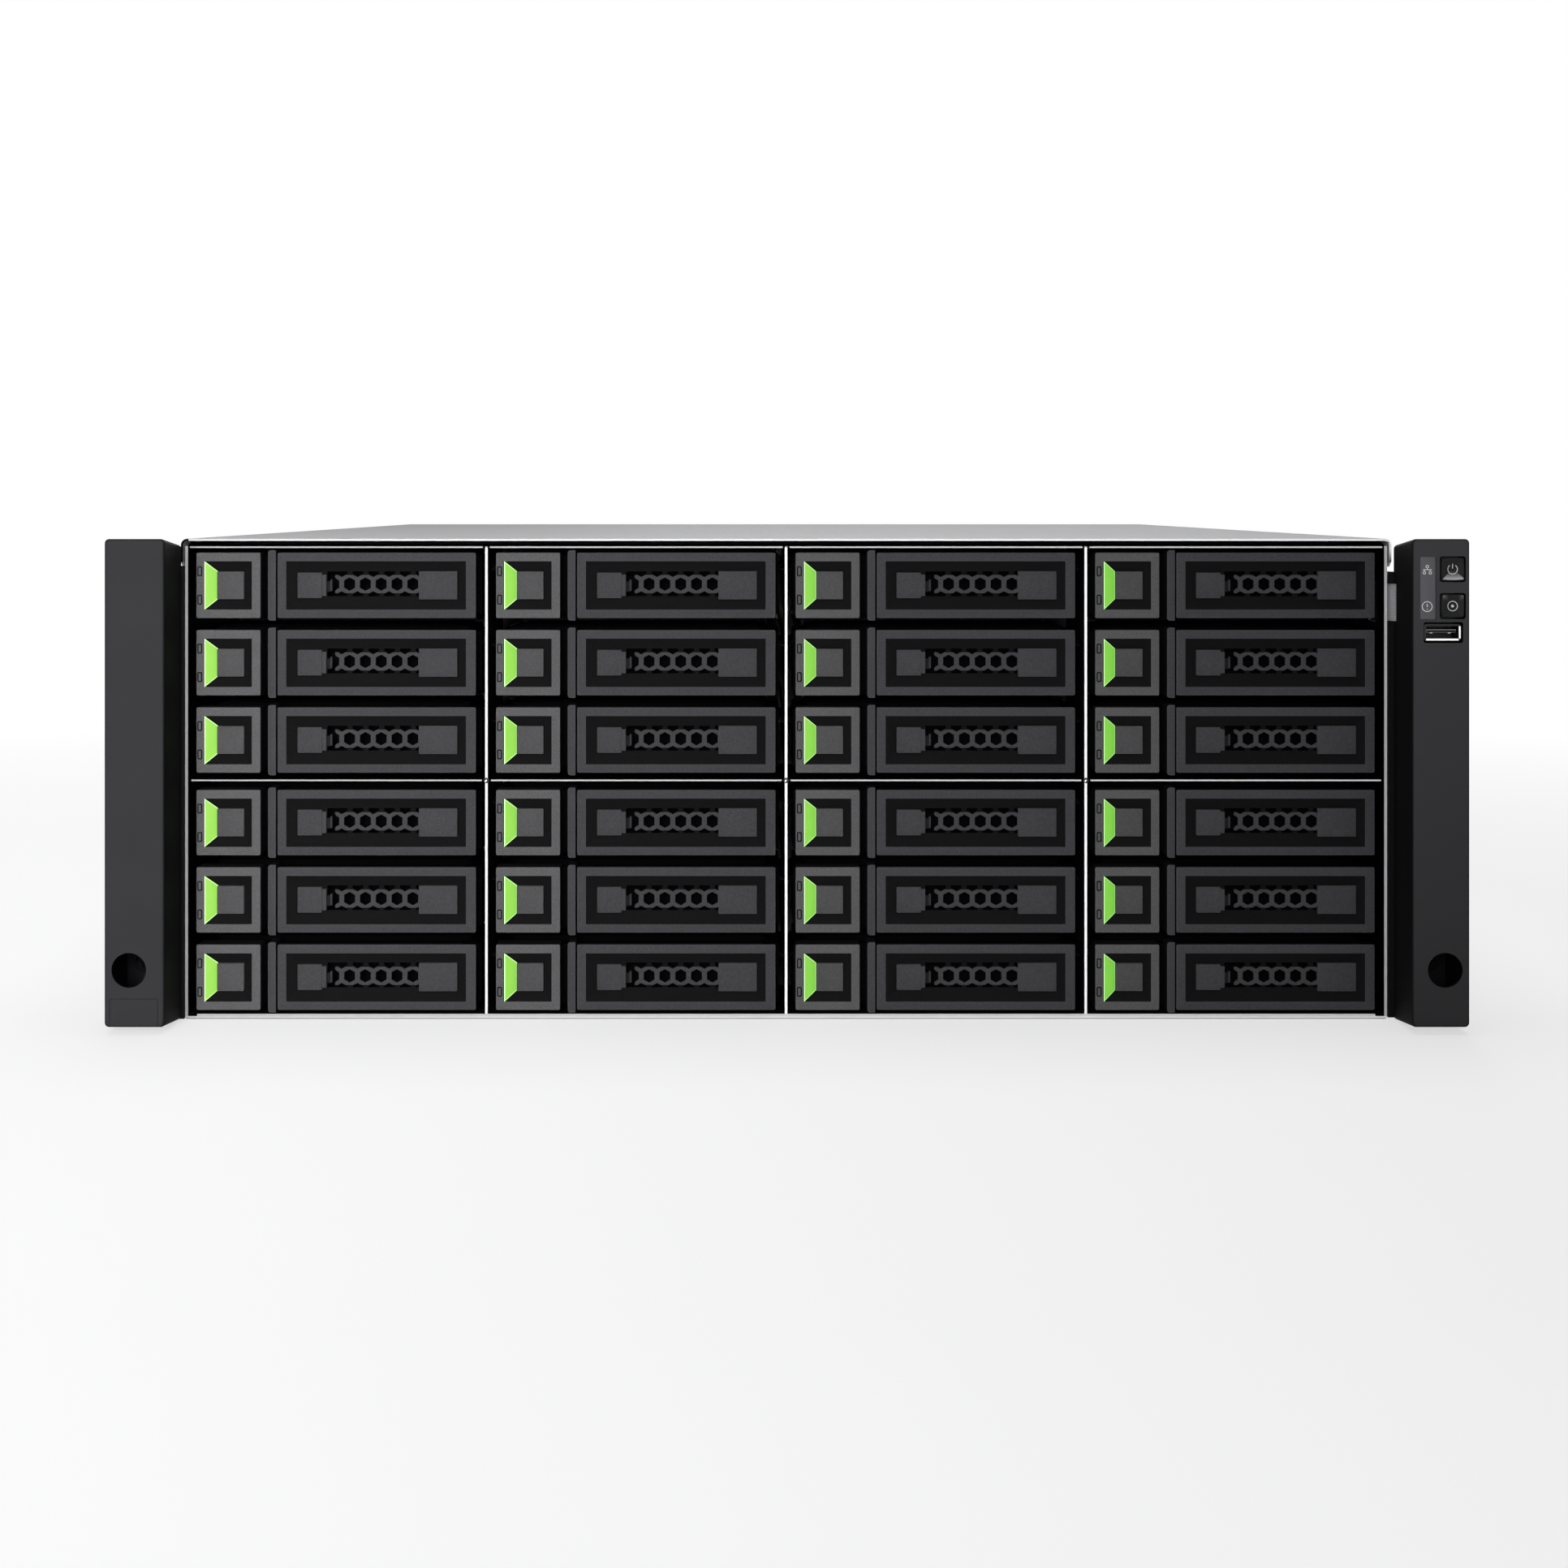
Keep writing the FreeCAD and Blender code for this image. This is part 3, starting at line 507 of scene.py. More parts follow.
def framedRecess(shape, bottom, hole, back, look, hinged=False):
    # nested rectangles from the back edge, over the rounded front edge and the crowned rim, down the
    # sloped walls to the recess floor and through the hole to the back again; the hinged end is thinner
    left, right, low, high = look["left"], look["left"] + look["wide"], 0, bays["tall"]
    stops = (look["tipFrom"], look["tipFrom"] + 0.05) if hinged else ()
    edge, crown, corner = look["edge"], look["crown"], look["corner"]
    levels = []
    for t in np.linspace(0, np.pi / 2, 4):
        by, y = edge * (1 - math.cos(t)), crown + edge * (1 - math.sin(t))
        levels.append((left + by, right - by, low + by, high - by, corner, y))
    rimLeft, rimRight, rimTop = look["rims"]
    inner = (left + rimLeft, right - rimRight, low + rimTop, high - rimTop)
    lip = 0.12
    levels.append((inner[0] - lip, inner[1] + lip, inner[2] - lip, inner[3] + lip, 0.2, 0.0))
    levels.append((*inner, 0.12, lip))
    levels.append((*bottom, 0.06, look["floor"]))
    levels.append((*hole, 0.05, look["floor"]))
    loops = [atDepth(roundedBox(*level[:5], stops=stops), level[5]) for level in levels]
    outline = roundedBox(left, right, low, high, corner, stops=stops)
    depth = np.where(outline[:, 0] > look["tipFrom"], look["tipThick"], back) if hinged else back
    loops.insert(0, atDepth(outline, depth))
    loops.append(atDepth(roundedBox(*hole, 0.05, stops=stops), back))
    # shade paints the black of painted shade on the outer sides and down into the recess; highlight paints
    # the rim's edges paler, a painted highlight
    shade = [1, 0.15, 0, 0, 0, 0, 1, 1, 1, 1]
    wear = [0, 0.6, 0.6, 0.4, 0, 0.7, 0, 0, 0, 0]
    return shape.hoop(loops, shade, wear)


def honeycombWeb(shape, look):
    # each cell is a ring between a hexagonal hole and the zigzag outline that it shares with its neighbours
    half, tip, shoulder = look["hexHalf"], look["hexTip"], look["hexShoulder"]
    reach, band = look["hexPitch"] / 2, look["bandHalf"]
    dip = band - look["notch"]
    flat = reach - look["notch"] / look["hexSlope"]
    quarterOuter = np.array([(reach, 0), (reach, dip), (flat, band), (0, band)])
    quarterInner = np.array([(half, 0), (half, shoulder), (half / 2, (shoulder + tip) / 2), (0, tip)])

    def allRound(quarter):
        upperLeft = quarter[-2::-1] * (-1, 1)
        return np.concatenate([quarter, upperLeft, quarter[1:] * (-1, -1), quarter[-2:0:-1] * (1, -1)])

    outer, inner = allRound(quarterOuter), allRound(quarterInner)
    face = inset(outer, 0.1)
    shared = abs(outer[:, 0]) > reach - 0.01
    face[shared, 0] = outer[shared, 0]
    middle = bays["tall"] / 2 + look["hexLift"]
    web, front, lip = look["webBack"], look["webFront"], look["lip"]
    depths = (web, front + lip, front, front, front + lip, web)
    centres = [np.array([look["hexLast"] - cell * look["hexPitch"], middle])
               for cell in range(look["hexCount"] + 1)]
    # shade paints the holes' walls black, painted shade; highlight paints the bevels' edges paler, a painted
    # highlight
    for centre in centres[:-1]:
        outlines = (outer, outer, face, inner * 1.05, inner, inner)
        shape.hoop([atDepth(outline + centre, y) for outline, y in zip(outlines, depths)],
                   shade=[1, 0, 0, 0, 1, 1], wear=[0, 0.5, 0, 0.5, 0, 0])
    # the last cell is cut in half
    rightHalf = [9, 10, 11, 0, 1, 2, 3]
    shift = np.array([[0.6, 0]] + [[0, 0]] * 5 + [[0.6, 0]])
    outerHalf, innerHalf = outer[rightHalf] + shift, inner[rightHalf] + shift * 0.8
    outlines = (outerHalf, outerHalf, outerHalf * 0.99, innerHalf * 1.05, innerHalf, innerHalf)
    centre = centres[-1] + (0.02, 0)
    strip = np.stack([atDepth(outline + centre, y) for outline, y in zip(outlines, depths)])
    shape.sheet(strip, closed=True, shade=[1, 0, 0, 0, 1, 1])
    shape.plate(strip[:, 0], 1).plate(strip[::-1, -1], 1)
    # legs join the web to the window's upper and lower edges; their black is painted shade
    narrow = reach - half
    for centre in centres[:-1]:
        for side, end in ((1, look["window"][3] + 0.1 - middle), (-1, middle - look["window"][2] + 0.1)):
            knee = min(dip + 1.1, end - 0.1)
            leg = np.array([(flat, band - 0.2), (narrow, knee), (narrow, end), (-narrow, end),
                            (-narrow, knee), (-flat, band - 0.2)]) * (1, side)
            outline = leg + centre
            shape.block(outline if side > 0 else outline[::-1], web, look["legFront"], shade=1)


def hookProfile(look):
    # the hook's section across the pin: a wall bent round the pin's circle and open towards the back
    x, y = look["pivot"]
    turn = np.linspace(np.pi, 2 * np.pi, 9)
    bore = np.stack([x + look["pinHole"] * np.cos(turn), y + look["pinHole"] * np.sin(turn)], -1)
    wide, deep, front = look["hook"], y + look["hookBack"], look["hookFront"]
    half = [(look["pinHole"], deep), (wide, deep), (wide, front + 0.75), (wide - 0.6, front)]
    outside = [(x + across, depth) for across, depth in half]
    outside += [(x - across, depth) for across, depth in half[::-1]]
    return np.concatenate([bore, outside])


def leverShape(look):
    # the framed recess with its honeycomb, five blocks of different heights, and the hook behind it
    shape = Shape()
    framedRecess(shape, look["island"], look["window"], look["thick"], look, hinged=True)
    honeycombWeb(shape, look)
    top, deep = look["plateau"], look["floor"] + 0.3
    # the step and the tab are darkened towards the walls' black, painted shade
    for name, radius, steps, back, front, edge, shade in (
            ("lock", 0.35, 3, deep, top, 0.14, 0), ("tail", 0.2, 2, deep, top + 0.25, 0.12, 0),
            ("step", 0.1, 2, deep, 1.6, 0.1, 0.85), ("tab", 0.15, 2, deep, 1.1, 0.1, 0.35),
            ("flat", 0.15, 2, look["thick"] - 0.2, top, 0.1, 0)):
        shape.block(roundedBox(*look[name], radius, steps), back, front, edge, shade)
    section = hookProfile(look)
    low, high = look["hookSpan"]
    return shape.tube([atHeight(section, low), atHeight(section, high)])


# carrier: release module, light insert, bar, tray and disk

carrier = dict(left=3.45, wide=23.4, deep=8.4, corner=0.55, edge=0.45, crown=0.2, rims=(3.1, 3.1, 3.15),
               floor=2.2, button=(10.9, 20.8, 6.85, 17.05), buttonGap=0.06, plateau=0.5,
               lamps=((3.95, 5.7, 15.35, 18.9), (3.95, 5.7, 5.0, 8.55)), lampFrame=0.41,
               bar=(29.6, 32.5, -0.9, 24.8), barCorner=1.0, insertLift=0.05, insertThick=0.4,
               insertBand=0.24)
tray = dict(left=2.63, right=106.63, thick=1.1, front=8.4, wall=12.0, back=163.4, low=1.2, high=22.7,
            runnerLow=18.35, runnerHigh=19.55, runnerOut=1.2, bend=0.8, lug=(99.1, 102.5, 3.9, 8.4),
            lugSpans=((3.0, 5.4), (18.5, 20.9)), pin=1.0, pinSpan=(5.0, 19.0), shadedTo=48.0)
disk = dict(left=3.83, right=105.43, front=12.0, back=159.0, low=-1.1, high=25.0, lidEdge=3.0,
            hub=(54.6, 58.0, 16.0))


def moduleShape(look):
    # the framed recess with its square release button, and two lamps in raised rings at its left
    shape = Shape()
    left, right, low, high = look["button"]
    framedRecess(shape, look["button"], (left + 1, right - 1, low + 1, high - 1), look["deep"], look)
    gap = look["buttonGap"]
    shape.block(roundedBox(left + gap, right - gap, low + gap, high - gap, 0.25, 3), look["deep"] - 2,
                look["plateau"], 0.16, shade=0.25)
    # each lamp sits in a black ring, and its window's rounded edge is paler, a painted highlight
    for lamp in look["lamps"]:
        outline = roundedBox(*lamp, 0.5, 3)
        by = look["lampFrame"]
        steps = ((-0.03, 0.5), (-0.03, 0.0), (-0.01, -0.06), (by - 0.01, -0.06), (by + 0.01, 0.5))
        shape.hoop([atDepth(inset(outline, step), y) for step, y in steps], shade=1)
        shape.block(inset(outline, by), 0.5, -0.02, 0.03, wear=1)
    return shape


def insertShape(look):
    # a sloped slab on the recess's left wall; its border band is bevelled and painted lighter, a painted
    # highlight
    rim, _, low = look["rims"]
    left, right, high = look["left"] + rim + 0.02, look["button"][0] + look["buttonGap"], bays["tall"] - low
    slope = look["floor"] / (look["button"][0] - look["left"] - rim)
    rise = (look["button"][2] - low) / (look["button"][0] - left) * (right - left)
    corners = np.array([(left, low), (right, low + rise), (right, high - rise), (left, high)])

    def onSlope(outline, lift):
        return np.stack([outline[:, 0], (outline[:, 0] - left) * slope - lift, outline[:, 1]], -1)

    band = inset(corners, look["insertBand"])
    shape = Shape()
    loops = np.stack([onSlope(corners, -look["insertThick"]), onSlope(corners, look["insertLift"]),
                      onSlope(band, look["insertLift"] + 0.06)])
    shape.tube(loops, wear=[0.2, 0.5])
    # its left edge is palest, a painted highlight
    shape.highlights[2 * len(corners) - 1] = 1.0
    return shape


def barShape(look):
    # an upright strip whose left corners are rounder than its right ones, and whose flat sides are black
    # with painted shade
    left, right, low, high = look["bar"]
    outline = roundedBox(left, right, low, high, 0.32, 4)
    rounded = roundedBox(left, right, low, high, look["barCorner"], 4)
    onLeft = (outline[:, 0] < (left + right) / 2)[:, None]
    shape = Shape().block(np.where(onLeft, rounded, outline), look["deep"] + 0.4, 0.05, 0.3)
    # painted shade: the first row of faces, its sides, is black
    shape.shades[:len(outline)] = [1.0] * len(outline)
    return shape


def trayShape(t):
    # a front wall; each side's section, with its runner rib, carried from there to the back and lower at
    # its end; two lugs and the pin between them
    shape = Shape()
    left, right, low, high, thick = t["left"], t["right"], t["low"], t["high"], t["thick"]
    shape.block(roundedBox(left, right, low, high, t["bend"], 3), t["wall"], t["front"], 0.3, shade=1)
    for x, out in ((left, -1), (right, 1)):
        inner = x - out * thick
        section = np.array([(inner, low), (x - out * 0.3, low), (x, low + 0.3), (x, t["runnerLow"]),
                            (x + out * t["runnerOut"], t["runnerLow"] + 0.2),
                            (x + out * t["runnerOut"], t["runnerHigh"] - 0.2), (x, t["runnerHigh"]),
                            (x, high - 0.3), (x - out * 0.3, high), (inner, high)])
        section = section if out > 0 else section[::-1]
        loops = [atDepth(np.stack([section[:, 0], np.clip(section[:, 1], low + by, high - by)], -1), y)
                 for y, by in ((t["front"] + 0.2, 0), (t["back"] - 1.5, 0), (t["back"], 0.8))]
        shape.tube(loops)
    x0, x1, y0, y1 = t["lug"]
    for z0, z1 in t["lugSpans"]:
        outline = roundedBox(x0, x1, z0, z1, 0.3, 2)
        shape.block(outline, y1 + 0.5, y0, 0.25, shade=1)
    pin = ring(*lever["pivot"], t["pin"], 16)
    return shape.tube([atHeight(pin, z) for z in t["pinSpan"]])


def diskShape(shape, d):
    # a cast body whose lid is a raised plate with rounded corners, and a ring over its hub
    lid, top = d["lidEdge"], d["high"]
    left, right, front, back = d["left"], d["right"], d["front"], d["back"]
    levels = [(0.0, d["low"] + 0.5, 2.5), (0.0, top - 3.2, 2.5), (1.0, top - 2.6, 1.5),
              (lid, top - 2.6, 3.0), (lid + 0.6, top - 0.6, 2.4), (lid + 3.4, top - 0.6, 2.4),
              (lid + 4.0, top, 1.8)]
    loops = [atHeight(roundedBox(left + by, right - by, front + by, back - by, radius), z)
             for by, z, radius in levels]
    shape.tube(loops, shade=[2, 2, 2, 3, 3, 3], ends=(2, 3))
    hubX, hubY, hubR = d["hub"]
    rings = [atHeight(ring(hubX, hubY + front, hubR - by, 40), top - drop)
             for by, drop in ((0, 0.2), (0.2, 0), (0.8, 0), (1.1, 0.2))]
    return shape.hoop(rings, shade=3)


diskLook = dict(steel=((0.30, 0.30, 0.305), (0.45, 0.45, 0.455)),
                cast=((0.08, 0.08, 0.082), (0.14, 0.14, 0.143)),
                lid=((0.34, 0.34, 0.34), (0.46, 0.46, 0.46)), front=(0.0012, 0.0012, 0.0014))


def trayMetal():
    # shade: 0 bare steel, 1 black front, 2 cast disk body, 3 disk lid
    f = Finish("trayMetal")
    kind = f.face("shade")
    drawn = f.brushed(800, (1.0, 0.05, 1.0))
    y = f.axes()[1]
    # everything in front of that depth is black as well: painted shade in the gaps between the trays
    front = ((kind > 0.5) * (kind < 1.5)).math("MAXIMUM", y < tray["shadedTo"] * mm)
    steel, cast, lid = (f.blend(drawn, *diskLook[part]) for part in ("steel", "cast", "lid"))
    colour = f.blend(kind > 1.5, steel, f.blend(kind > 2.5, cast, lid))
    colour = f.blend(front, colour, diskLook["front"])
    metal = (1 - front) * 0.8
    return f.surface(colour=colour, metal=metal, rough=0.38 + drawn * 0.15 + front * 0.4, gloss=0.02,
                     bump=f.bump(drawn, 0.1, 0.02))


trayFinish = trayMetal()
shapes = dict(lever=(leverShape(lever), leverSkin, "lever_plastic"),
              module=(moduleShape(carrier), bezel, "lever_plastic"),
              insert=(insertShape(carrier), greenLens, "button_plastic"),
              bar=(barShape(carrier), leverSkin, "lever_plastic"),
              tray=(diskShape(trayShape(tray), disk), trayFinish, "carrier_body"))
meshes = {key: makeMesh(key, made[0]) for key, made in shapes.items()}
for column in range(bays["columns"]):
    for row in range(bays["rows"]):
        x, z = bayPlace(column, row)
        bay = f"c{column + 1}r{row + 1}"
        for key, (shape, finish, slotName) in shapes.items():
            mesh = meshes[key].copy()
            mesh.transform(Matrix.Translation((x * mm, 0, z * mm)))
            body = f"lever_{bay}" if key == "lever" else f"carrier_{bay}"
            replaced = [body] if key in ("lever", "tray") else ()
            piece(f"{key}Part_{bay}", mesh, finish, body, replaced)


# rack ears

ear = dict(inner=221.0, outer=241.3, low=2.75, high=175.4, front=-24.5, back=-1.5, wall=1.6, edge=1.06,
           corner=1.5, drop=2.6, cut=-20, access=(232.55, 22.9, 6.15), hole=(232.55, 22.5, 3.5),
           bracket=1.5, bracketIn=219.0, bracketBack=62.0, bracketLow=0.85, bracketHigh=163.0, bend=1.2,
           rackScrew=(4.9, 3.0, 2.9, 8.0), sideScrews=(30, 60, 110, 135), sideFace=219.4, sideScrewY=20,
           sideScrew=(2.9, 1.2), screwSmooth=25, strip=(226.5, 157.9, 5.5, 22.2),
           usb=(231.9, 142.25, 14.0, 7.4), keyX=235.2, keyReach=4.6, keyZ=(164.6, 151.6),
           notch=(-4.7, 144.92, 158.68), groove=(222.2, 239.4, 1.5, 12.85), grooveWide=0.18, grooveDeep=0.09)
leftEar = dict(ear, inner=220.05, bracketLow=0.35, bracketHigh=165.1)


def earShell(look):
    # an outline carried from the open back edge to the front and back again inside: its top and bottom
    # both drop towards the back, and quarter circles round the front edge
    def level(y, by, wall):
        grow = by + wall
        drop = look["drop"] * (y - look["front"]) / (look["back"] - look["front"])
        return atDepth(roundedBox(look["inner"] + grow, look["outer"] - grow, look["low"] - drop + grow,
                                  look["high"] - drop - grow, 0.3 if wall else look["corner"], 5), y)

    edge, front = look["edge"], look["front"]
    loops = [level(look["back"], 0, 0)]
    loops += [level(front + edge * (1 - math.sin(t)), edge * (1 - math.cos(t)), 0)
              for t in np.linspace(0, np.pi / 2, 6)]
    # the side walls and the rounded front edge are darkened with painted shade, fully at the back and less
    # towards the front face
    shape = Shape().sheet(np.stack(loops), around=True, shade=[1, 1, 1, 0.7, 0.15, 0])
    shape.plate(loops[-1])
    inside = [level(look["back"], 0, look["wall"]), level(front + look["wall"], 0, look["wall"])]
    # the inside is black, painted shade
    shape.sheet(np.stack([loops[0], *inside]), around=True, shade=1)
    return shape.plate(inside[-1][::-1], 1)


def earHoles(look, withPanel):
    # what is cut out of an ear: the screwdriver's round hole, and either the panel's openings or a fine
    # groove round the cover's foot
    front, back = look["front"] - 1, look["back"] + 1
    x, z, r = look["access"]
    # the holes' walls take their shade of 1, painted shade inside the openings
    holes = Shape().block(ring(x, z, r, 48), back, front, shade=1, wear=0)
    if not withPanel:
        outer = roundedBox(*look["groove"], 0.6, 4)
        wide, deep = look["grooveWide"], look["grooveDeep"]
        loops = [atDepth(inset(outer, by), look["front"] + y)
                 for by, y in ((0, deep), (0, -1), (wide, -1), (wide, deep))]
        return holes.hoop(loops, shade=1)
    side = 2 * look["keyReach"]
    windows = [(*look["strip"], 0.5), (*look["usb"], 0.8)]
    windows += [(look["keyX"], height, side, side, 0.9) for height in look["keyZ"]]
    for window in windows:
        holes.block(centredBox(*window), look["cut"], front, shade=1, wear=0)
    y, low, high = look["notch"]
    slot = roundedBox(look["inner"] - 1, look["inner"] + look["wall"] + 0.4, low, high, 0.05)
    return holes.block(slot, back, y, shade=1, wear=0)


def mirrored(mesh):
    mesh.transform(Matrix.Scale(-1, 4, (1, 0, 0)))
    mesh.flip_normals()
    return mesh


def bracketShape(look):
    # the steel angle in plan, carried from its lower edge to its upper edge
    x, t, bend, back = look["bracketIn"], look["bracket"], look["bend"], look["bracketBack"]
    end, inner = look["outer"] - 0.5, x + t
    plan = np.array([(x, -t), (end, -t), (end, 0), (inner + bend, 0), (inner + 0.35, 0.35),
                     (inner, bend), (inner, back), (x, back)])
    return Shape().tube([atHeight(plan, look["bracketLow"]), atHeight(plan, look["bracketHigh"])])


def bracketMesh(look, notched):
    # the angle with its rack hole, and with a slot for the ribbon cable
    holes = Shape().block(ring(*look["hole"], 32), 2, -3)
    if notched:
        _, low, high = look["notch"]
        holes.block(roundedBox(look["bracketIn"] - 1, look["inner"] + 1, low, high, 0.05), 22, -2)
    return cutOut(makeMesh("bracket", bracketShape(look)), holes)


def screwHead(shape, centre, outward, radius, high, recess=0.55):
    # a domed head on polar rings: its height follows an ellipse over the radius, and is lowered inside a
    # cross round the middle
    outward = np.array(outward, float)
    first = np.cross(outward, (0, 0, 1) if abs(outward[2]) < 0.9 else (1, 0, 0))
    second = np.cross(outward, first)
    along = np.array([0.0, 0.12, 0.2, 0.3, 0.42, 0.54, 0.66, 0.82, 0.93, 1.0, 1.0])[:, None] * radius
    turn = (np.arange(32) * 2 * np.pi / 32)[None, :]
    u, w = along * np.cos(turn), along * np.sin(turn)
    slot = (np.minimum(abs(u), abs(w)) < 0.16 * radius) & (along < 0.6 * radius)
    height = high * np.sqrt(1 - 0.75 * (along / radius) ** 2) - recess * high * slot
    height = np.broadcast_to(height, u.shape).copy()
    height[-1] = 0
    grid = np.array(centre) + u[..., None] * first + w[..., None] * second + height[..., None] * outward
    return shape.sheet(grid, around=True).plate(grid[-1][::-1])


def rackScrew(look):
    # a captive screw in the flange's hole: a domed head in front and a plain round shank behind it
    x, z, _ = look["hole"]
    headWide, headHigh, shank, reach = look["rackScrew"]
    shape = screwHead(Shape(), (x, -look["bracket"], z), (0, -1, 0), headWide, headHigh)
    return shape.block(ring(x, z, shank, 24), reach, -look["bracket"] - 0.2)


def bracketScrews(look):
    # a row of heads up the bracket's side
    shape = Shape()
    for height in look["sideScrews"]:
        screwHead(shape, (look["sideFace"], look["sideScrewY"], height), (1, 0, 0), *look["sideScrew"])
    return shape


blackSteel = blackPlastic("blackSteel", (0.0035, 0.0035, 0.004), 0.45)
screwSteel = blackPlastic("screwSteel", (0.02, 0.02, 0.021), 0.3)
earParts = {}
for side, look in (("Right", ear), ("Left", leftEar)):
    onRight = side == "Right"
    earParts[side] = dict(
        earCover=(cutOut(makeMesh("cover", earShell(look)), earHoles(look, onRight)), earSkin),
        earBracket=(bracketMesh(look, onRight), blackSteel),
        earScrews=(makeMesh("screws", bracketScrews(look), look["screwSmooth"]), screwSteel),
        rackScrew=(makeMesh("rackScrew", rackScrew(look), look["screwSmooth"]), blackSteel))
for name in earParts["Right"]:
    for side, parts in earParts.items():
        mesh, finish = parts[name]
        replaced = [f"ear_{side.lower()}"] if name == "earCover" else ()
        piece(name + side, mesh if side == "Right" else mirrored(mesh), finish,
              replaced=replaced)
print("ears made")


# operator panel

panel = dict(stripBack=-22.9, stripFront=-24.2, keyHalf=4.1, keyTuck=0.12, keyProud=0.4, keyBack=-21.9,
             keyHollow=0.75, keyRim=0.9, keyFlat=0.25, keySide=4.8, facet=0.92, plunger=1.5,
             plungerBack=-19.2, mark=(1.7, 0.26), usbShell=(13.1, 5.9, 0.4), usbLip=0.72, usbBack=-12.8,
             usbFront=-23.3, tongue=(10.6, 1.0), contacts=(-3.25, -1.1, 1.1, 3.25),
             board=(223.6, 238.7, 144.9, 170.4), boardY=(-14.0, -12.4))


def keyDepth(look, u, w):
    # four sloped facets round a small flat middle, and rounded sides: the depth grows from the rim to the
    # middle with the square distance from it
    square, rim = np.maximum(abs(u), abs(w)), look["keyRim"]
    dish = look["keyHollow"] * np.clip((rim - square) / (rim - look["keyFlat"]), 0, 1)
    return ear["front"] - look["keyProud"] + dish + look["keySide"] * np.clip(square - rim, 0, 1)


def keyShape(look, x, z, lit):
    # a square cap whose corners are tucked in; highlight paints the lower facet paler, or two upper corners,
    # a painted highlight
    half, steps = look["keyHalf"], 25
    a = np.linspace(-1, 1, steps)
    u, w = np.meshgrid(a, a)
    square = np.maximum(abs(u), abs(w))
    tuck = look["keyTuck"]
    grid = np.stack([x + half * u * np.sqrt(1 - tuck * w ** 2), keyDepth(look, u, w),
                     z + half * w * np.sqrt(1 - tuck * u ** 2)], -1)
    onTop = square < look["facet"]
    bright = (w < -abs(u) * 0.98) * onTop * np.clip((square - 0.15) / 0.75, 0, 1) ** 1.5
    corners = 0.5 * np.clip(np.minimum(abs(u), w) * 1.6 - 0.6, 0, 1) ** 2 * onTop
    lift = bright if lit else corners
    shape = Shape().sheet(grid, wear=lift[:-1, :-1])
    border = np.concatenate([grid[0, :-1], grid[:-1, -1], grid[-1, :0:-1], grid[:0:-1, 0]])
    back = border.copy()
    back[:, 1] = look["keyBack"]
    shape.sheet(np.stack([border, back]), around=True)
    shape.plate(back)
    side = 2 * look["plunger"]
    return shape.block(centredBox(x, z, side, side, 0.3, 2), look["plungerBack"], look["keyBack"] - 0.2)


def stroke(shape, path, wide, y, closed=False, lift=0.03):
    # a mark of even width along a flat path, raised by lift
    path = np.array(path, float)
    ahead = np.roll(path, -1, 0) - path
    behind = path - np.roll(path, 1, 0)
    if not closed:
        ahead[-1], behind[0] = behind[-1], ahead[0]
    first, second = (np.stack([-run[:, 1], run[:, 0]], -1)
                     / np.maximum(np.linalg.norm(run, axis=1, keepdims=True), 1e-9)
                     for run in (ahead, behind))
    across = first + second
    across /= np.maximum((across * first).sum(1, keepdims=True), 0.5)
    left, right = path + across * wide / 2, path - across * wide / 2
    front, back = y - lift, y + 0.05
    section = np.stack([atDepth(left, back), atDepth(left, front),
                        atDepth(right, front), atDepth(right, back)], 1)
    if closed:
        return shape.sheet(section, around=True, closed=True)
    return shape.tube(section)


def powerMark(x, z, y, size, wide):
    # an open circle with a bar through its gap
    turn = np.linspace(math.radians(125), math.radians(415), 33)
    arc = np.stack([x + size * np.cos(turn), z + size * np.sin(turn)], -1)
    shape = stroke(Shape(), arc, wide, y)
    return stroke(shape, [(x, z + 0.15 * size), (x, z + 1.15 * size)], wide, y)


def locateMark(x, z, y, size, wide):
    # a ring round a dot
    shape = stroke(Shape(), ring(x, z, size, 36), wide, y, closed=True)
    return shape.block(ring(x, z, size * 0.3, 20), y + 0.05, y - 0.03)


def onKey(shape, look, x, z):
    # a flat mark laid on the key's facets
    points = np.concatenate(shape.points)
    u, w = (points[:, 0] - x) / look["keyHalf"], (points[:, 2] - z) / look["keyHalf"]
    points[:, 1] += keyDepth(look, u, w)
    shape.points = [points]
    return shape


def networkMark(x, z, y, wide):
    # one small ring over two more, joined by straight lines
    shape = Shape()
    stroke(shape, [(x - 1.55, z), (x + 1.55, z)], wide, y)
    stroke(shape, [(x, z), (x, z + 0.62)], wide, y)
    for side in (-1.05, 1.05):
        stroke(shape, [(x + side, z - 0.65), (x + side, z)], wide, y)
        stroke(shape, ring(x + side, z - 1.1, 0.45, 20), wide, y, closed=True)
    return stroke(shape, ring(x, z + 1.1, 0.47, 20), wide, y, closed=True)


def alertMark(x, z, y, size, wide):
    # a ring round a bar with a dot under it
    shape = stroke(Shape(), ring(x, z, size, 40), wide, y, closed=True)
    stroke(shape, [(x, z - 0.15), (x, z + size * 0.55)], wide * 1.15, y)
    return shape.block(ring(x, z - size * 0.5, wide * 0.6, 16), y + 0.05, y - 0.03)


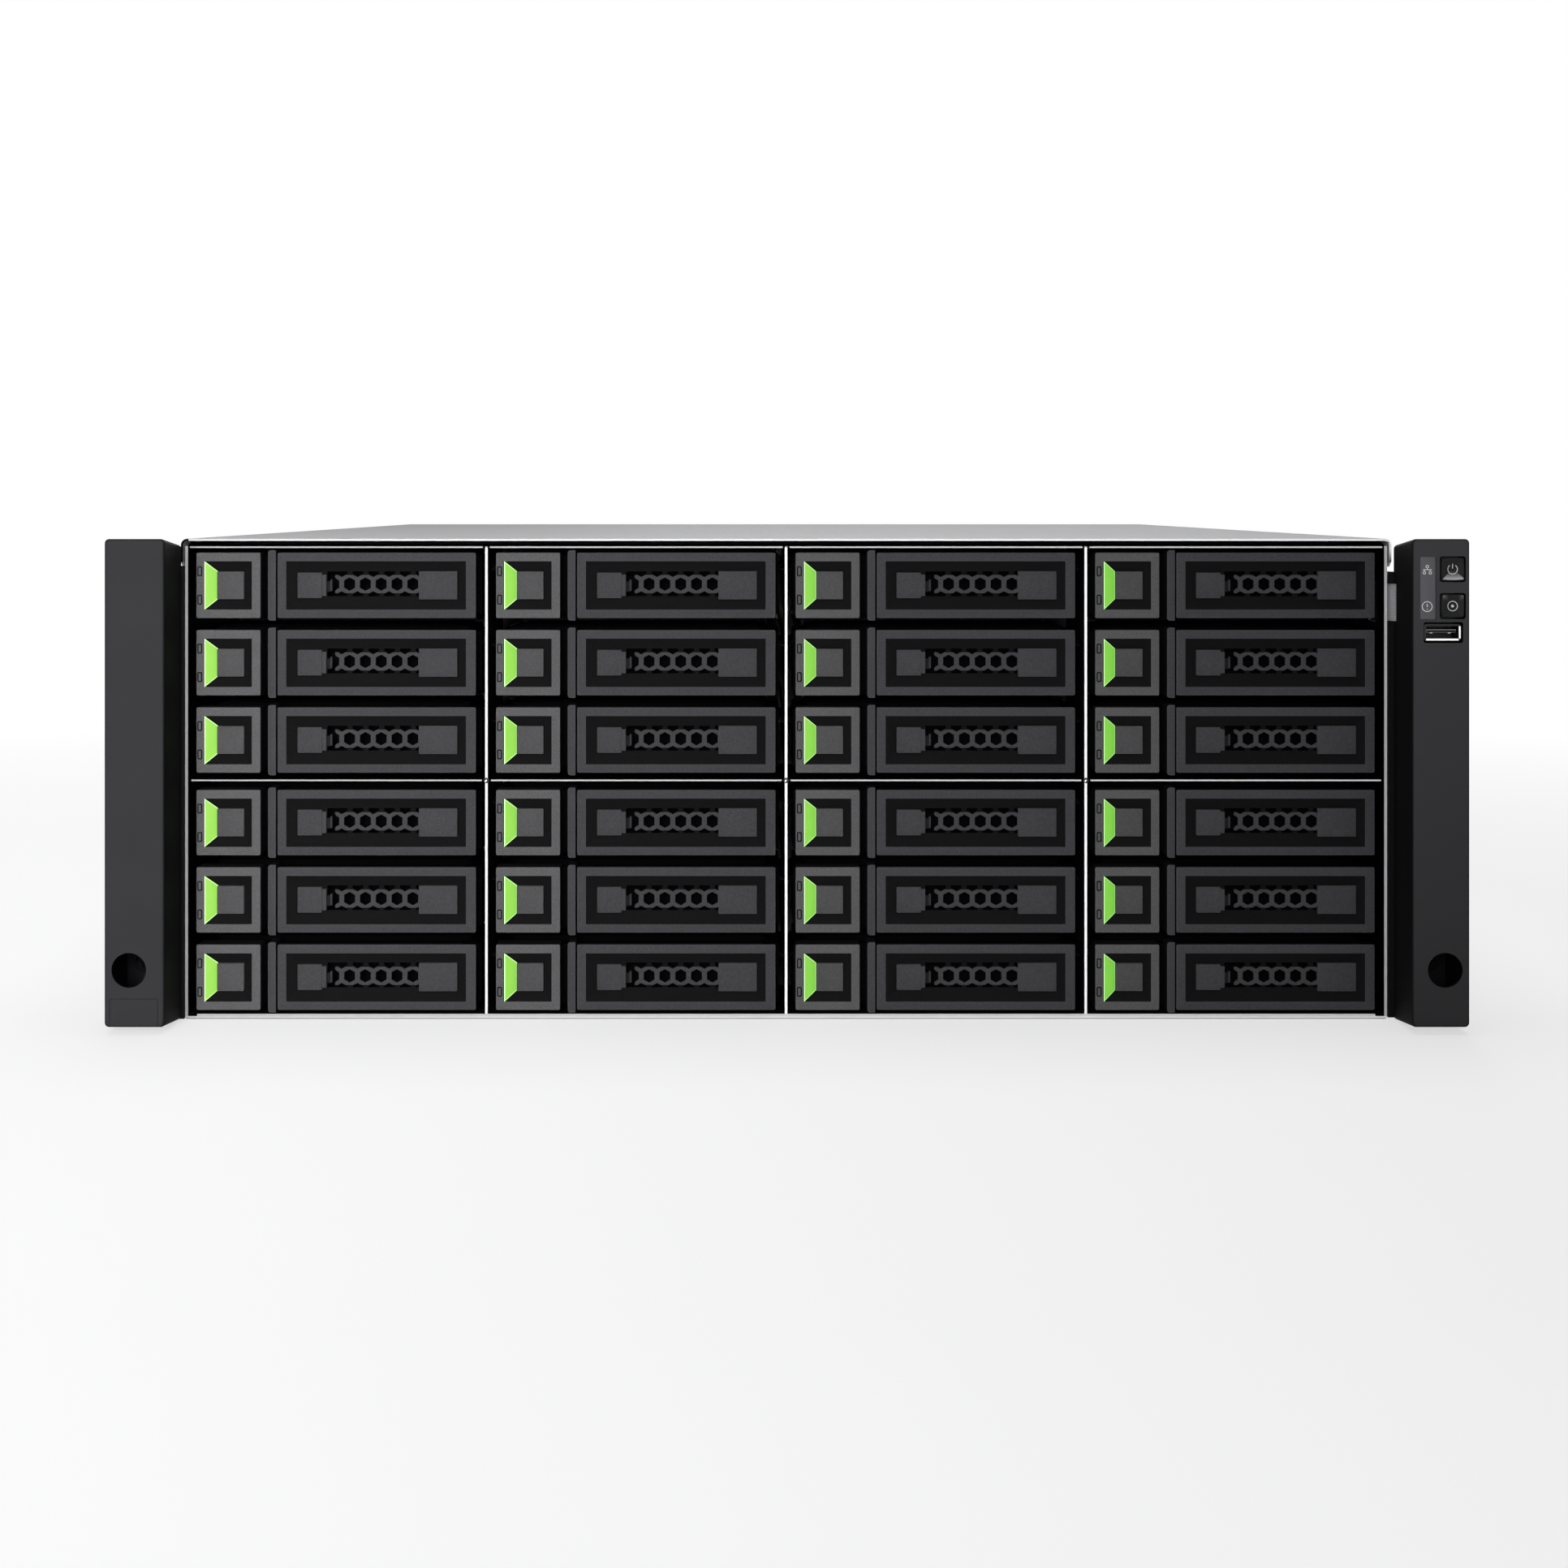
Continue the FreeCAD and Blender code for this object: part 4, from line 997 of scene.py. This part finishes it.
def usbShapes(look):
    # a shell with a flared lip, the tongue inside it, and four contacts under the tongue; two sides of the
    # shell's front are bright with a painted highlight, and the rest of it is dark with painted shade
    x, z = ear["usb"][:2]
    outW, outT, wall = look["usbShell"]
    front, back = look["usbFront"], look["usbBack"]
    outline = centredBox(x, z, outW, outT, 0.75)
    inner = inset(outline, wall)
    loops = [atDepth(outline, back), atDepth(outline, front + 0.1), atDepth(inset(outline, 0.1), front),
             atDepth(inset(outline, look["usbLip"]), front), atDepth(inner, front + 0.5),
             atDepth(inner, back - 1)]
    bright = np.isin(np.arange(len(outline)), (14, 19))
    shades = np.ones((5, 1)) * np.where(bright, 0, 1)
    shades[[0, 3, 4]] = 1
    shell = Shape().tube(loops, shades, ends=(1, 1))
    tongueW, tongueT = look["tongue"]
    left, right = x - tongueW / 2, x + tongueW / 2
    top = z + tongueT
    tongue = Shape().block(roundedBox(left, right, z - 0.2, top, 0.15, 2), back - 1.2, front + 1.6, 0.12)
    tongue.block(roundedBox(left, right, top - 0.35, top, 0.1, 2), front + 1.7, front + 1.55, wear=0)
    # the tongue's upper front edge is paler, a painted highlight
    tongue.highlights[-2] = 0.4
    # the outer two contacts reach further forward than the inner two, and are bright with a painted
    # highlight, while the inner two are dark with painted shade
    pins = Shape()
    for along, behind in zip(look["contacts"], (0, 1, 1, 0)):
        outline = centredBox(x + along, z - 0.25, 1.0, 0.4, 0.04, 1)
        pins.block(outline, back - 1.5, front + 2.6 + behind, shade=behind)
    return shell, tongue, pins


# the key's facet grey and the port's bright pair are painted highlights, and the port's dark grey is painted
# shade
panelLook = dict(strip=((0.070, 0.069, 0.078), (0.088, 0.087, 0.096)),
                 ink=((0.42, 0.42, 0.43), (0.52, 0.52, 0.53)), gold=((0.8, 0.62, 0.28), (0.9, 0.74, 0.4)),
                 key=((0.012, 0.012, 0.013), (0.018, 0.018, 0.019)), keyFacetHighlight=(0.33, 0.33, 0.34),
                 port=((0.86, 0.86, 0.86), (0.94, 0.94, 0.94)), portShade=(0.012, 0.012, 0.013))


def portMetal():
    # bright where the shell's lower and right lips catch the light, a painted highlight, and dark with
    # painted shade elsewhere
    f = Finish("portMetal")
    fine = f.grain(1200, 2.0)
    paintedShade = f.face("shade")
    colour = f.blend(paintedShade, f.blend(fine, *panelLook["port"]), panelLook["portShade"])
    return f.surface(colour=colour, metal=(1 - paintedShade) * 0.5, rough=0.4 + fine * 0.1, gloss=0.2)


def keyPlastic():
    # satin black; the facet that faces up is paler, a painted highlight
    f = Finish("keyPlastic")
    fine = f.grain(2200, 2.0, 0.6)
    black, pale = panelLook["key"], panelLook["keyFacetHighlight"]
    return f.surface(colour=f.blend(f.face("wear"), f.blend(fine, *black), pale), rough=0.45 + fine * 0.1,
                     gloss=0.04, bump=f.bump(fine, 0.1, 0.02))


glass = twoTone("stripGlass", (90, 2.0), *panelLook["strip"], 0.45, 0.08, 0.03, gloss=0.1)
ink = twoTone("paleInk", (3000, 2.0), *panelLook["ink"], 0.5, gloss=0.3)
gold = twoTone("goldContact", (1500, 2.0), *panelLook["gold"], 0.25, metal=1.0)
keySkin, portSteel = keyPlastic(), portMetal()
x, z = ear["strip"][:2]
stripShape = Shape().block(centredBox(*ear["strip"], 0.5), panel["stripBack"], panel["stripFront"], 0.12)
piece("statusStrip", stripShape, glass)
marks = networkMark(x - 0.2, z + 6.55, panel["stripFront"], 0.28)
marks.join(alertMark(x - 0.25, z - 6.5, panel["stripFront"], 1.75, 0.3))
piece("stripMarks", marks, ink)
boardFront, boardBack = panel["boardY"]
boardShape = Shape().block(roundedBox(*panel["board"], 0.5, 2), boardBack, boardFront)
x = ear["keyX"]
for name, z, mark in zip(("power_button", "locate_button"), ear["keyZ"], (powerMark, locateMark)):
    cap = keyShape(panel, x, z, name == "power_button")
    piece(f"{name}_cap", cap, keySkin, name, [name], smooth=50)
    piece(f"{name}_mark", onKey(mark(x, z, 0.0, *panel["mark"]), panel, x, z), ink, name)
    boardShape.block(centredBox(x + 0.2, z, 6, 6, 0.4, 2), boardFront, boardFront - 4, 0.3)
shell, tongue, pins = usbShapes(panel)
piece("portShell", shell, portSteel)
piece("portTongue", tongue, keySkin)
piece("portPins", pins, portSteel)
piece("panelBoard", boardShape, board)


# ribbon cable

cable = dict(start=(226.0, -10.8), route=((219.75, 2.6), (219.75, 9.5), (217.65, 19.5)),
             end=(217.65, 176.0), bends=(8.0, 12.0, 12.0), inside=8.0, low=144.9, wide=13.8, thick=0.6,
             wires=20, margin=0.12,
             tones=((0.38, 0.383, 0.395), (0.24, 0.243, 0.253)), paintedShade=(0.012, 0.012, 0.013))


def roundedPath(look, steps=9):
    # straight runs whose corners are rounded: each corner is a quadratic curve between its two tangent
    # points
    points = [np.array(p) for p in (look["start"], *look["route"], look["end"])]
    runs = [points[0][None]]
    for before, corner, after, r in zip(points, points[1:], points[2:], look["bends"]):
        into, out = corner - before, after - corner
        into, out = into / np.linalg.norm(into), out / np.linalg.norm(out)
        cut = r * math.tan(math.acos(np.clip(into @ out, -1, 1)) / 2)
        t = np.linspace(0, 1, steps)[:, None]
        a, b = corner - into * cut, corner + out * cut
        runs.append((1 - t) ** 2 * a + 2 * t * (1 - t) * corner + t ** 2 * b)
    runs.append(points[-1][None])
    return np.concatenate(runs)


def ribbonShape(look):
    # the section, a row of round wires whose half thickness follows a sine, is carried along the path
    path = roundedPath(look)
    tangent = np.gradient(path, axis=0)
    tangent /= np.linalg.norm(tangent, axis=1, keepdims=True)
    normal = np.stack([-tangent[:, 1], tangent[:, 0]], -1)
    t = np.linspace(0, 1, look["wires"] * 4 + 1)
    bulge = 0.5 * look["thick"] * (0.55 + 0.4 * abs(np.sin(np.pi * t * look["wires"])))
    bulge[0] = bulge[-1] = 0.12
    height = look["low"] + look["wide"] * t
    across = np.concatenate([bulge, -bulge[::-1]])
    up = np.concatenate([height, height[::-1]])
    grid = np.empty((len(path), len(across), 3))
    grid[..., :2] = path[:, None] + normal[:, None] * across[None, :, None]
    grid[..., 2] = up[None]
    return Shape().tube(grid)


def cableGrey():
    # grey wires side by side, dark with painted shade along both edges and past the depth where the ribbon
    # enters the chassis
    f = Finish("cableGrey")
    _, y, z = f.axes()
    low, wide, margin = cable["low"], cable["wide"], cable["margin"]
    turns = (z - low * mm) * (cable["wires"] * 2 * math.pi / (wide * mm))
    wires = turns.math("COSINE") * 0.5 + 0.5
    fine = f.grain(900, 2.0)
    colour = f.blend(wires * 0.7 + fine * 0.2, *cable["tones"])
    shown = between(z, low + margin, low + wide - margin) * (y < cable["inside"] * mm)
    colour = f.blend(shown, cable["paintedShade"], colour)
    return f.surface(colour=colour, rough=0.5 + fine * 0.1, gloss=0.1, bump=f.bump(wires, 0.3, 0.1))


piece("ribbonCable", ribbonShape(cable), cableGrey(), smooth=60)
print("panel made")


# drive cage: sheets with rounded front edges, and black rails

cage = dict(inner=218.0, thick=1.0, back=176.0, floor=(1.0, 1.8), top=(171.6, 172.2), shelf=(86.6, 87.2),
            shelfGap=1.2, notch=6.0, floorCorner=(3.3, 3.0), rail=(1.5, 17.0, 18.2), railFront=12.0,
            railLead=7.0, topGap=0.75, topNotch=1.5, rivet=(1.0, 0.2, 0.45, 0.22, 0.85))


def sheetPart(shape, plan, low, high, edge=0.12):
    # a plan outline raised from its lower face to its upper face, with both its edges broken
    plan = np.array(plan, float)
    return shape.tube([atHeight(inset(plan, by), z)
                       for by, z in ((edge, low), (0, low + edge), (0, high - edge), (edge, high))])


def cageShadedSteel():
    # bare front edges, paler to the right as painted light; behind them the faces are black with painted
    # shade, as far back as the trays' black fronts reach
    f = Finish("cageShadedSteel")
    drawn = f.brushed(900, (1.0, 0.03, 1.0))
    _, y, z = f.axes()
    deep = y > tray["shadedTo"] * mm
    colour = f.blend(deep, metalLook["black"], f.blend(drawn, *metalLook["zinc"]))
    upright = between(z, cage["floor"][1], cage["shelf"][0]) + between(z, cage["shelf"][1], cage["top"][0])
    pale = f.blend(upright, edgeTone(f, "cage"), edgeTone(f, "upright"))
    colour = f.blend(y < edgeLook["deep"] * mm, colour, pale)
    return f.surface(colour=colour, metal=deep * 0.9, rough=0.75 + drawn * 0.12 - deep * 0.35, gloss=0.02,
                     bump=f.bump(drawn, 0.05, 0.02))


def cageShape(look):
    # a floor, and for each column a shelf and a top strip with notched corners; upright sheets between
    # the columns
    shape = Shape()
    inner, back = look["inner"], look["back"]
    half, columns = look["thick"] / 2, bays["columns"]
    side, deep = look["floorCorner"]
    corners = [(side - inner, 0), (inner - side, 0), (inner - side, deep), (inner, deep), (inner, back),
               (-inner, back), (-inner, deep), (side - inner, deep)]
    sheetPart(shape, corners, *look["floor"])
    for column in range(columns):
        left = max((column - columns / 2) * bays["pitchX"] + half, -inner)
        right = min((column + 1 - columns / 2) * bays["pitchX"] - half, inner)
        a, b, d = left + look["shelfGap"], right - look["shelfGap"], look["notch"]
        plan = [(a, 0), (b, 0), (right, d), (right, back), (left, back), (left, d)]
        sheetPart(shape, plan, *look["shelf"])
        a, b, d = left + look["topGap"], right - look["topGap"], look["topNotch"]
        plan = [(a, 0), (b, 0), (b, d), (right, d), (right, back), (left, back), (left, d), (a, d)]
        sheetPart(shape, plan, *look["top"])
        if column:
            x = left - half
            outline = roundedBox(x - half, x + half, look["floor"][1], look["top"][1], 0, 0)
            shape.block(outline, back, 0, 0.3)
    return shape


def railShape(look):
    # each rail narrows towards its front, so that a runner finds its way onto it
    shape = Shape()
    wide, low, high = look["rail"]
    half = look["thick"] / 2
    for column in range(bays["columns"] + 1):
        for row in range(bays["rows"]):
            x, z = bayPlace(column, row)
            x = np.clip(x, -look["inner"], look["inner"])
            for out in (-1, 1):
                start = x + out * half * (abs(x) < look["inner"])
                if abs(start + out * wide) > look["inner"]:
                    continue
                left, right = sorted((start, start + out * wide))
                shape.tube([atDepth(roundedBox(left, right, z + low + by, z + high - by, 0.15, 2), y)
                            for y, by in ((look["back"], 0), (look["railFront"] + look["railLead"], 0),
                                          (look["railFront"], 0.35))])
    return shape


def rivetShape(look):
    # a dark head with a bright slanting bar across it, a painted glint
    shape = Shape()
    radius, high, barLong, barWide, slant = look["rivet"]
    turn = np.array([[math.cos(slant), -math.sin(slant)], [math.sin(slant), math.cos(slant)]])
    bar = roundedBox(-barLong, barLong, -barWide, barWide, barWide * 0.8, 3) @ turn.T
    for column in range(1, bays["columns"]):
        middle = np.array([(column - bays["columns"] / 2) * bays["pitchX"], sum(look["shelf"]) / 2])
        shape.block(ring(*middle, radius, 28), 0.3, -high, 0.15, shade=1)
        shape.block(bar + middle - radius * 0.15, 0.2, -high - 0.12, 0.06)
    return shape


piece("cageSheets", cageShape(cage), cageShadedSteel(), replaced=["drive_cage"])
piece("cageRails", railShape(cage), blackPart)
piece("cageRivets", rivetShape(cage), portSteel, smooth=50)
print("cage made")


# rear modules: mesh in the vents, contacts in the ports, pins in the inlets, screws in the face plates

module = dict(middle=109.25, face=516.6, plate=1.6, ioLow=87.8, ioHigh=173.6, powerLow=1.6, powerHigh=86.0,
              ports=(-58, -29, 0, 29), lan=58, portRise=20.0, vents=(-55, 0, 55), vent=(50.0, 20.0),
              ventDrop=14.0, contactPitch=1.1, wirePitch=1.02, cell=4.0, cellHole=1.55,
              fan=(-40.0, 43.8, 35.75), inlet=(48.0, 29.8), pin=(2.0, 5.0),
              pins=((-7, -1.5), (7, -1.5), (0, 3.0)), screwU=102.5, screwIn=5.2, screw=(3.0, 1.5),
              coverFace=(220.55, 169.8), coverScrews=(80, 290, 500), coverScrew=(2.6, 0.45, 0.9))


def ventMesh(shape, left, low, look):
    # hexagonal cells: each is a ring between its hole and its own outline, cut off at the window's edges
    wide, tall = look["vent"]
    pitch, radius = look["cell"], look["cellHole"]
    y0, y1 = look["face"] - look["plate"] + 0.3, look["face"] - 0.4
    rise = pitch * math.sqrt(3) / 2
    box = np.array([[left, low], [left + wide, low + tall]])
    for row in range(int(tall / rise) + 2):
        for column in range(int(wide / pitch) + 2):
            centre = (left + (column + 0.5 * (row % 2)) * pitch, low + row * rise)
            cell = ring(*centre, pitch / math.sqrt(3), 6, math.pi / 6)
            hole = ring(*centre, radius, 6, math.pi / 6)
            if not (box[0] < cell.max(0) - 0.2).all() or not (cell.min(0) + 0.2 < box[1]).all():
                continue
            cell, hole = np.clip(cell, *box), np.clip(hole, *box)
            loops = [atDepth(cell, y0), atDepth(cell, y1), atDepth(hole, y1), atDepth(hole, y0)]
            shape.hoop(loops)
    return shape


def ioShapes(look, middle):
    # three vents and four screw heads; in each port a tongue with a row of contacts above and below; in
    # the network port a ledge with eight sprung wires
    face, z = look["face"], look["ioLow"] + look["portRise"]
    steel, gold, plastic = Shape(), Shape(), Shape()
    for u in look["vents"]:
        low = look["ioHigh"] - look["ventDrop"] - look["vent"][1]
        ventMesh(steel, middle + u - look["vent"][0] / 2, low, look)
    for u in (-look["screwU"], look["screwU"]):
        for level in (look["ioLow"] + look["screwIn"], look["ioHigh"] - look["screwIn"]):
            screwHead(steel, (middle + u, face, level), (0, 1, 0), *look["screw"])
    for u in look["ports"]:
        x = middle + u
        plastic.block(centredBox(x, z, 13, 1.2, 0.2, 2), face - 14, face - 4, 0.2)
        for along in np.arange(-5, 6) * look["contactPitch"]:
            for side in (-1, 1):
                gold.block(centredBox(x + along, z + side * 0.605, 0.56, 0.11, 0.02, 1), face - 12, face - 5)
    x = middle + look["lan"]
    plastic.block(centredBox(x, z - 3.4, 10.4, 1.6, 0.2, 2), face - 14, face - 3, 0.2)
    for px in x + (np.arange(8) - 3.5) * look["wirePitch"]:
        wire = np.array([(-2.6, 3.4), (-3.0, 3.9), (-12.5, 1.0), (-12.5, 0.6)]) + (face, z)
        gold.tube([np.stack([np.full(4, px + d), wire[:, 0], wire[:, 1]], -1) for d in (-0.22, 0.22)])
    return steel, gold, plastic


def powerShapes(look, middle):
    # screw heads at the fan's corners and at the face plate's end, and three flat pins in the inlet
    face = look["face"]
    steel, pins = Shape(), Shape()
    u, z, reach = look["fan"]
    for dx in (-reach, reach):
        for dz in (-reach, reach):
            screwHead(steel, (middle + u + dx, face, z + dz), (0, 1, 0), *look["screw"])
    for level in (look["powerLow"] + look["screwIn"], look["powerHigh"] - look["screwIn"]):
        screwHead(steel, (middle + look["screwU"], face, level), (0, 1, 0), *look["screw"])
    u, z = look["inlet"]
    wide, tall = look["pin"]
    for dx, dz in look["pins"]:
        x, level = middle + u + dx, z + dz
        pins.block(centredBox(x, level, wide, tall, 0.3, 2), face - 16.2, face - 2.5, 0.28)
    return steel, pins


# ranges along the module's width from its middle, along the depth and along the height
moduleLook = dict(width=(-102.4, 102.4), fan=((-80.1, 0.1), (487.9, 514.98), (3.7, 83.9)),
                  inlet=((33.1, 62.9), (499.5, 515.5), (18.5, 41.1)), plugDeep=(178, 192.7),
                  plugs=((10.02, 15.7), (96.22, 101.9)), boardDeep=(182, 484),
                  boards=((7.5, 10.01), (93.7, 96.21)), black=(0.008, 0.008, 0.009))


def moduleFinish():
    # drawn steel; the fan, the inlet and the plugs are black, and the boards are green
    f = Finish("moduleFinish")
    x, y, z = f.axes()
    u = x - x.math("SIGN") * (module["middle"] * mm)
    inside = between(u, *moduleLook["width"])
    fan, inlet = (between(u, *moduleLook[name][0]) * between(z, *moduleLook[name][2])
                  * between(y, *moduleLook[name][1]) for name in ("fan", "inlet"))
    plugLow, plugHigh = (between(z, *limits) for limits in moduleLook["plugs"])
    boardLow, boardHigh = (between(z, *limits) for limits in moduleLook["boards"])
    plug = between(y, *moduleLook["plugDeep"]) * (plugLow + plugHigh)
    boards = inside * between(y, *moduleLook["boardDeep"]) * (boardLow + boardHigh)
    black = (fan + inlet + inside * plug).math("MINIMUM", 1.0)
    drawn = f.brushed(800, (0.04, 1.0, 1.0))
    steel = f.blend(drawn * 0.5 + f.grain(30, 3.0) * 0.4, *metalLook["nickel"])
    masked = f.blend(boards, steel, f.blend(f.cells(420), *boardLook["mask"]))
    bare = (1 - black) * (1 - boards)
    return f.surface(colour=f.blend(black, masked, moduleLook["black"]), metal=bare * 0.8,
                     rough=0.34 + drawn * 0.15, gloss=0.3, bump=f.bump(drawn, 0.1, 0.02))


def coverScrews(look):
    # three low heads along each side of the cover
    shape = Shape()
    x, z = look["coverFace"]
    for side in (-1, 1):
        for y in look["coverScrews"]:
            screwHead(shape, (side * x, y, z), (side, 0, 0), *look["coverScrew"])
    return shape


for number, side in ((1, -1), (2, 1)):
    middle = side * module["middle"]
    ioBody, powerBody = f"io_module_{number}", f"power_supply_{number}"
    steel, contacts, plastic = ioShapes(module, middle)
    piece(f"ioSteel_{number}", steel, nickel, ioBody, smooth=30)
    piece(f"ioContacts_{number}", contacts, gold, ioBody)
    piece(f"ioPlastic_{number}", plastic, blackPart, ioBody)
    steel, pins = powerShapes(module, middle)
    piece(f"powerScrews_{number}", steel, nickel, powerBody, smooth=25)
    piece(f"powerPins_{number}", pins, nickel, powerBody)
piece("coverScrews", coverScrews(module), nickel, smooth=25)
print("rear made")


# CAD pieces that only need their finish

moduleSkin = moduleFinish()
finishes = dict(chassis=zinc, top_cover=paint, midplane=circuitBoard("backplane", plugs=True),
                io_module_1=moduleSkin, io_module_2=moduleSkin,
                power_supply_1=moduleSkin, power_supply_2=moduleSkin)
for node, finish in finishes.items():
    paintMesh(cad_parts[node].data, finish)


# floor, lights and camera

stage = dict(reach=14.0, ambient=0.12, floorGlow=0.6, fadeFrom=0.45, fadeTo=2.2,
             floorTones=((0.93, 0.93, 0.93), (0.95, 0.95, 0.95)))


def shownRays(f):
    # 1 for what the camera, metal and glass see, 0 for the light that falls on a surface
    camera = f.add("ShaderNodeLightPath", out="Is Camera Ray")
    outputs = camera.socket.node.outputs
    glossy, through = (Value(f, outputs[name]) for name in ("Is Glossy Ray", "Is Transmission Ray"))
    return camera.math("MAXIMUM", glossy).math("MAXIMUM", through)


def floorFinish():
    # white where the object's shadow falls, and plain white by its own glow further off
    f = Finish("floorFinish")
    away = f.add("ShaderNodeVectorMath", {"operation": "LENGTH"}, (f.place,), out="Value")
    far = (away - stage["fadeFrom"]) * (1 / (stage["fadeTo"] - stage["fadeFrom"]))
    glowing = (far + stage["floorGlow"]).math("MAXIMUM", stage["floorGlow"]).math("MINIMUM", 1.0)
    white = f.blend(f.grain(3.0, 2.0), *stage["floorTones"])
    lit = f.add("ShaderNodeBsdfDiffuse", None, {"Color": white})
    glow = f.add("ShaderNodeEmission", None, {"Color": (1, 1, 1, 1), "Strength": 1.0})
    mixed = f.add("ShaderNodeMixShader", None, {0: shownRays(f) * glowing, 1: lit, 2: glow})
    f.add("ShaderNodeOutputMaterial", None, {"Surface": mixed})
    return f.material


def studioWorld():
    world = bpy.data.worlds.new("studio")
    f = Finish("studio", world)
    soft = f.add("ShaderNodeBackground", None, {"Color": (1, 1, 1, 1), "Strength": stage["ambient"]})
    white = f.add("ShaderNodeBackground", None, {"Color": (1, 1, 1, 1), "Strength": 1.0})
    mixed = f.add("ShaderNodeMixShader", None, {0: shownRays(f), 1: soft, 2: white})
    f.add("ShaderNodeOutputWorld", None, {"Surface": mixed})
    return world


reach = stage["reach"]
floorMesh = bpy.data.meshes.new("floor")
floorMesh.from_pydata([(-reach, -reach, 0), (reach, -reach, 0), (reach, reach, 0), (-reach, reach, 0)], [],
                      [(0, 1, 2, 3)])
floorMesh.materials.append(floorFinish())
newObject("floor", floorMesh)
bpy.context.scene.world = studioWorld()

# for each lamp: where it stands, what it points at, its width, its power and its spread in degrees
lamps = dict(front=((0.05, -1.9, 0.5), (0.05, 0.0, 0.09), 1.2, 13.0, 180),
             frontLeft=((-0.33, -1.5, 0.4), (-0.42, 0.0, 0.09), 0.7, 3.9, 50),
             overhead=((0.0, 0.3, 1.9), (0.0, 0.28, 0.0), 1.4, 17.0, 180),
             rear=((0.3, 2.4, 0.9), (0.0, 0.5, 0.1), 1.2, 14.0, 180))
for name, (place, target, size, power, spread) in lamps.items():
    light = bpy.data.lights.new(name, "AREA")
    light.size = size
    light.energy = power
    light.spread = math.radians(spread)
    lamp = newObject(name, light)
    lamp.location = place
    lamp.rotation_euler = (Vector(target) - Vector(place)).to_track_quat("-Z", "Y").to_euler()

view = dict(lens=50.4, sensor=36.0, place=(-0.0102, -0.8, 0.1884), shift=(0.0165, -0.1799),
            clip=(0.01, 100))
camera = bpy.data.cameras.new("camera")
camera.lens, camera.sensor_width = view["lens"], view["sensor"]
camera.shift_x, camera.shift_y = view["shift"]
camera.clip_start, camera.clip_end = view["clip"]
cameraObject = newObject("camera", camera)
cameraObject.location = view["place"]
cameraObject.rotation_euler = (math.radians(90), 0, 0)
bpy.context.scene.camera = cameraObject
bpy.context.scene.view_settings.view_transform = "Standard"

print("scene made")
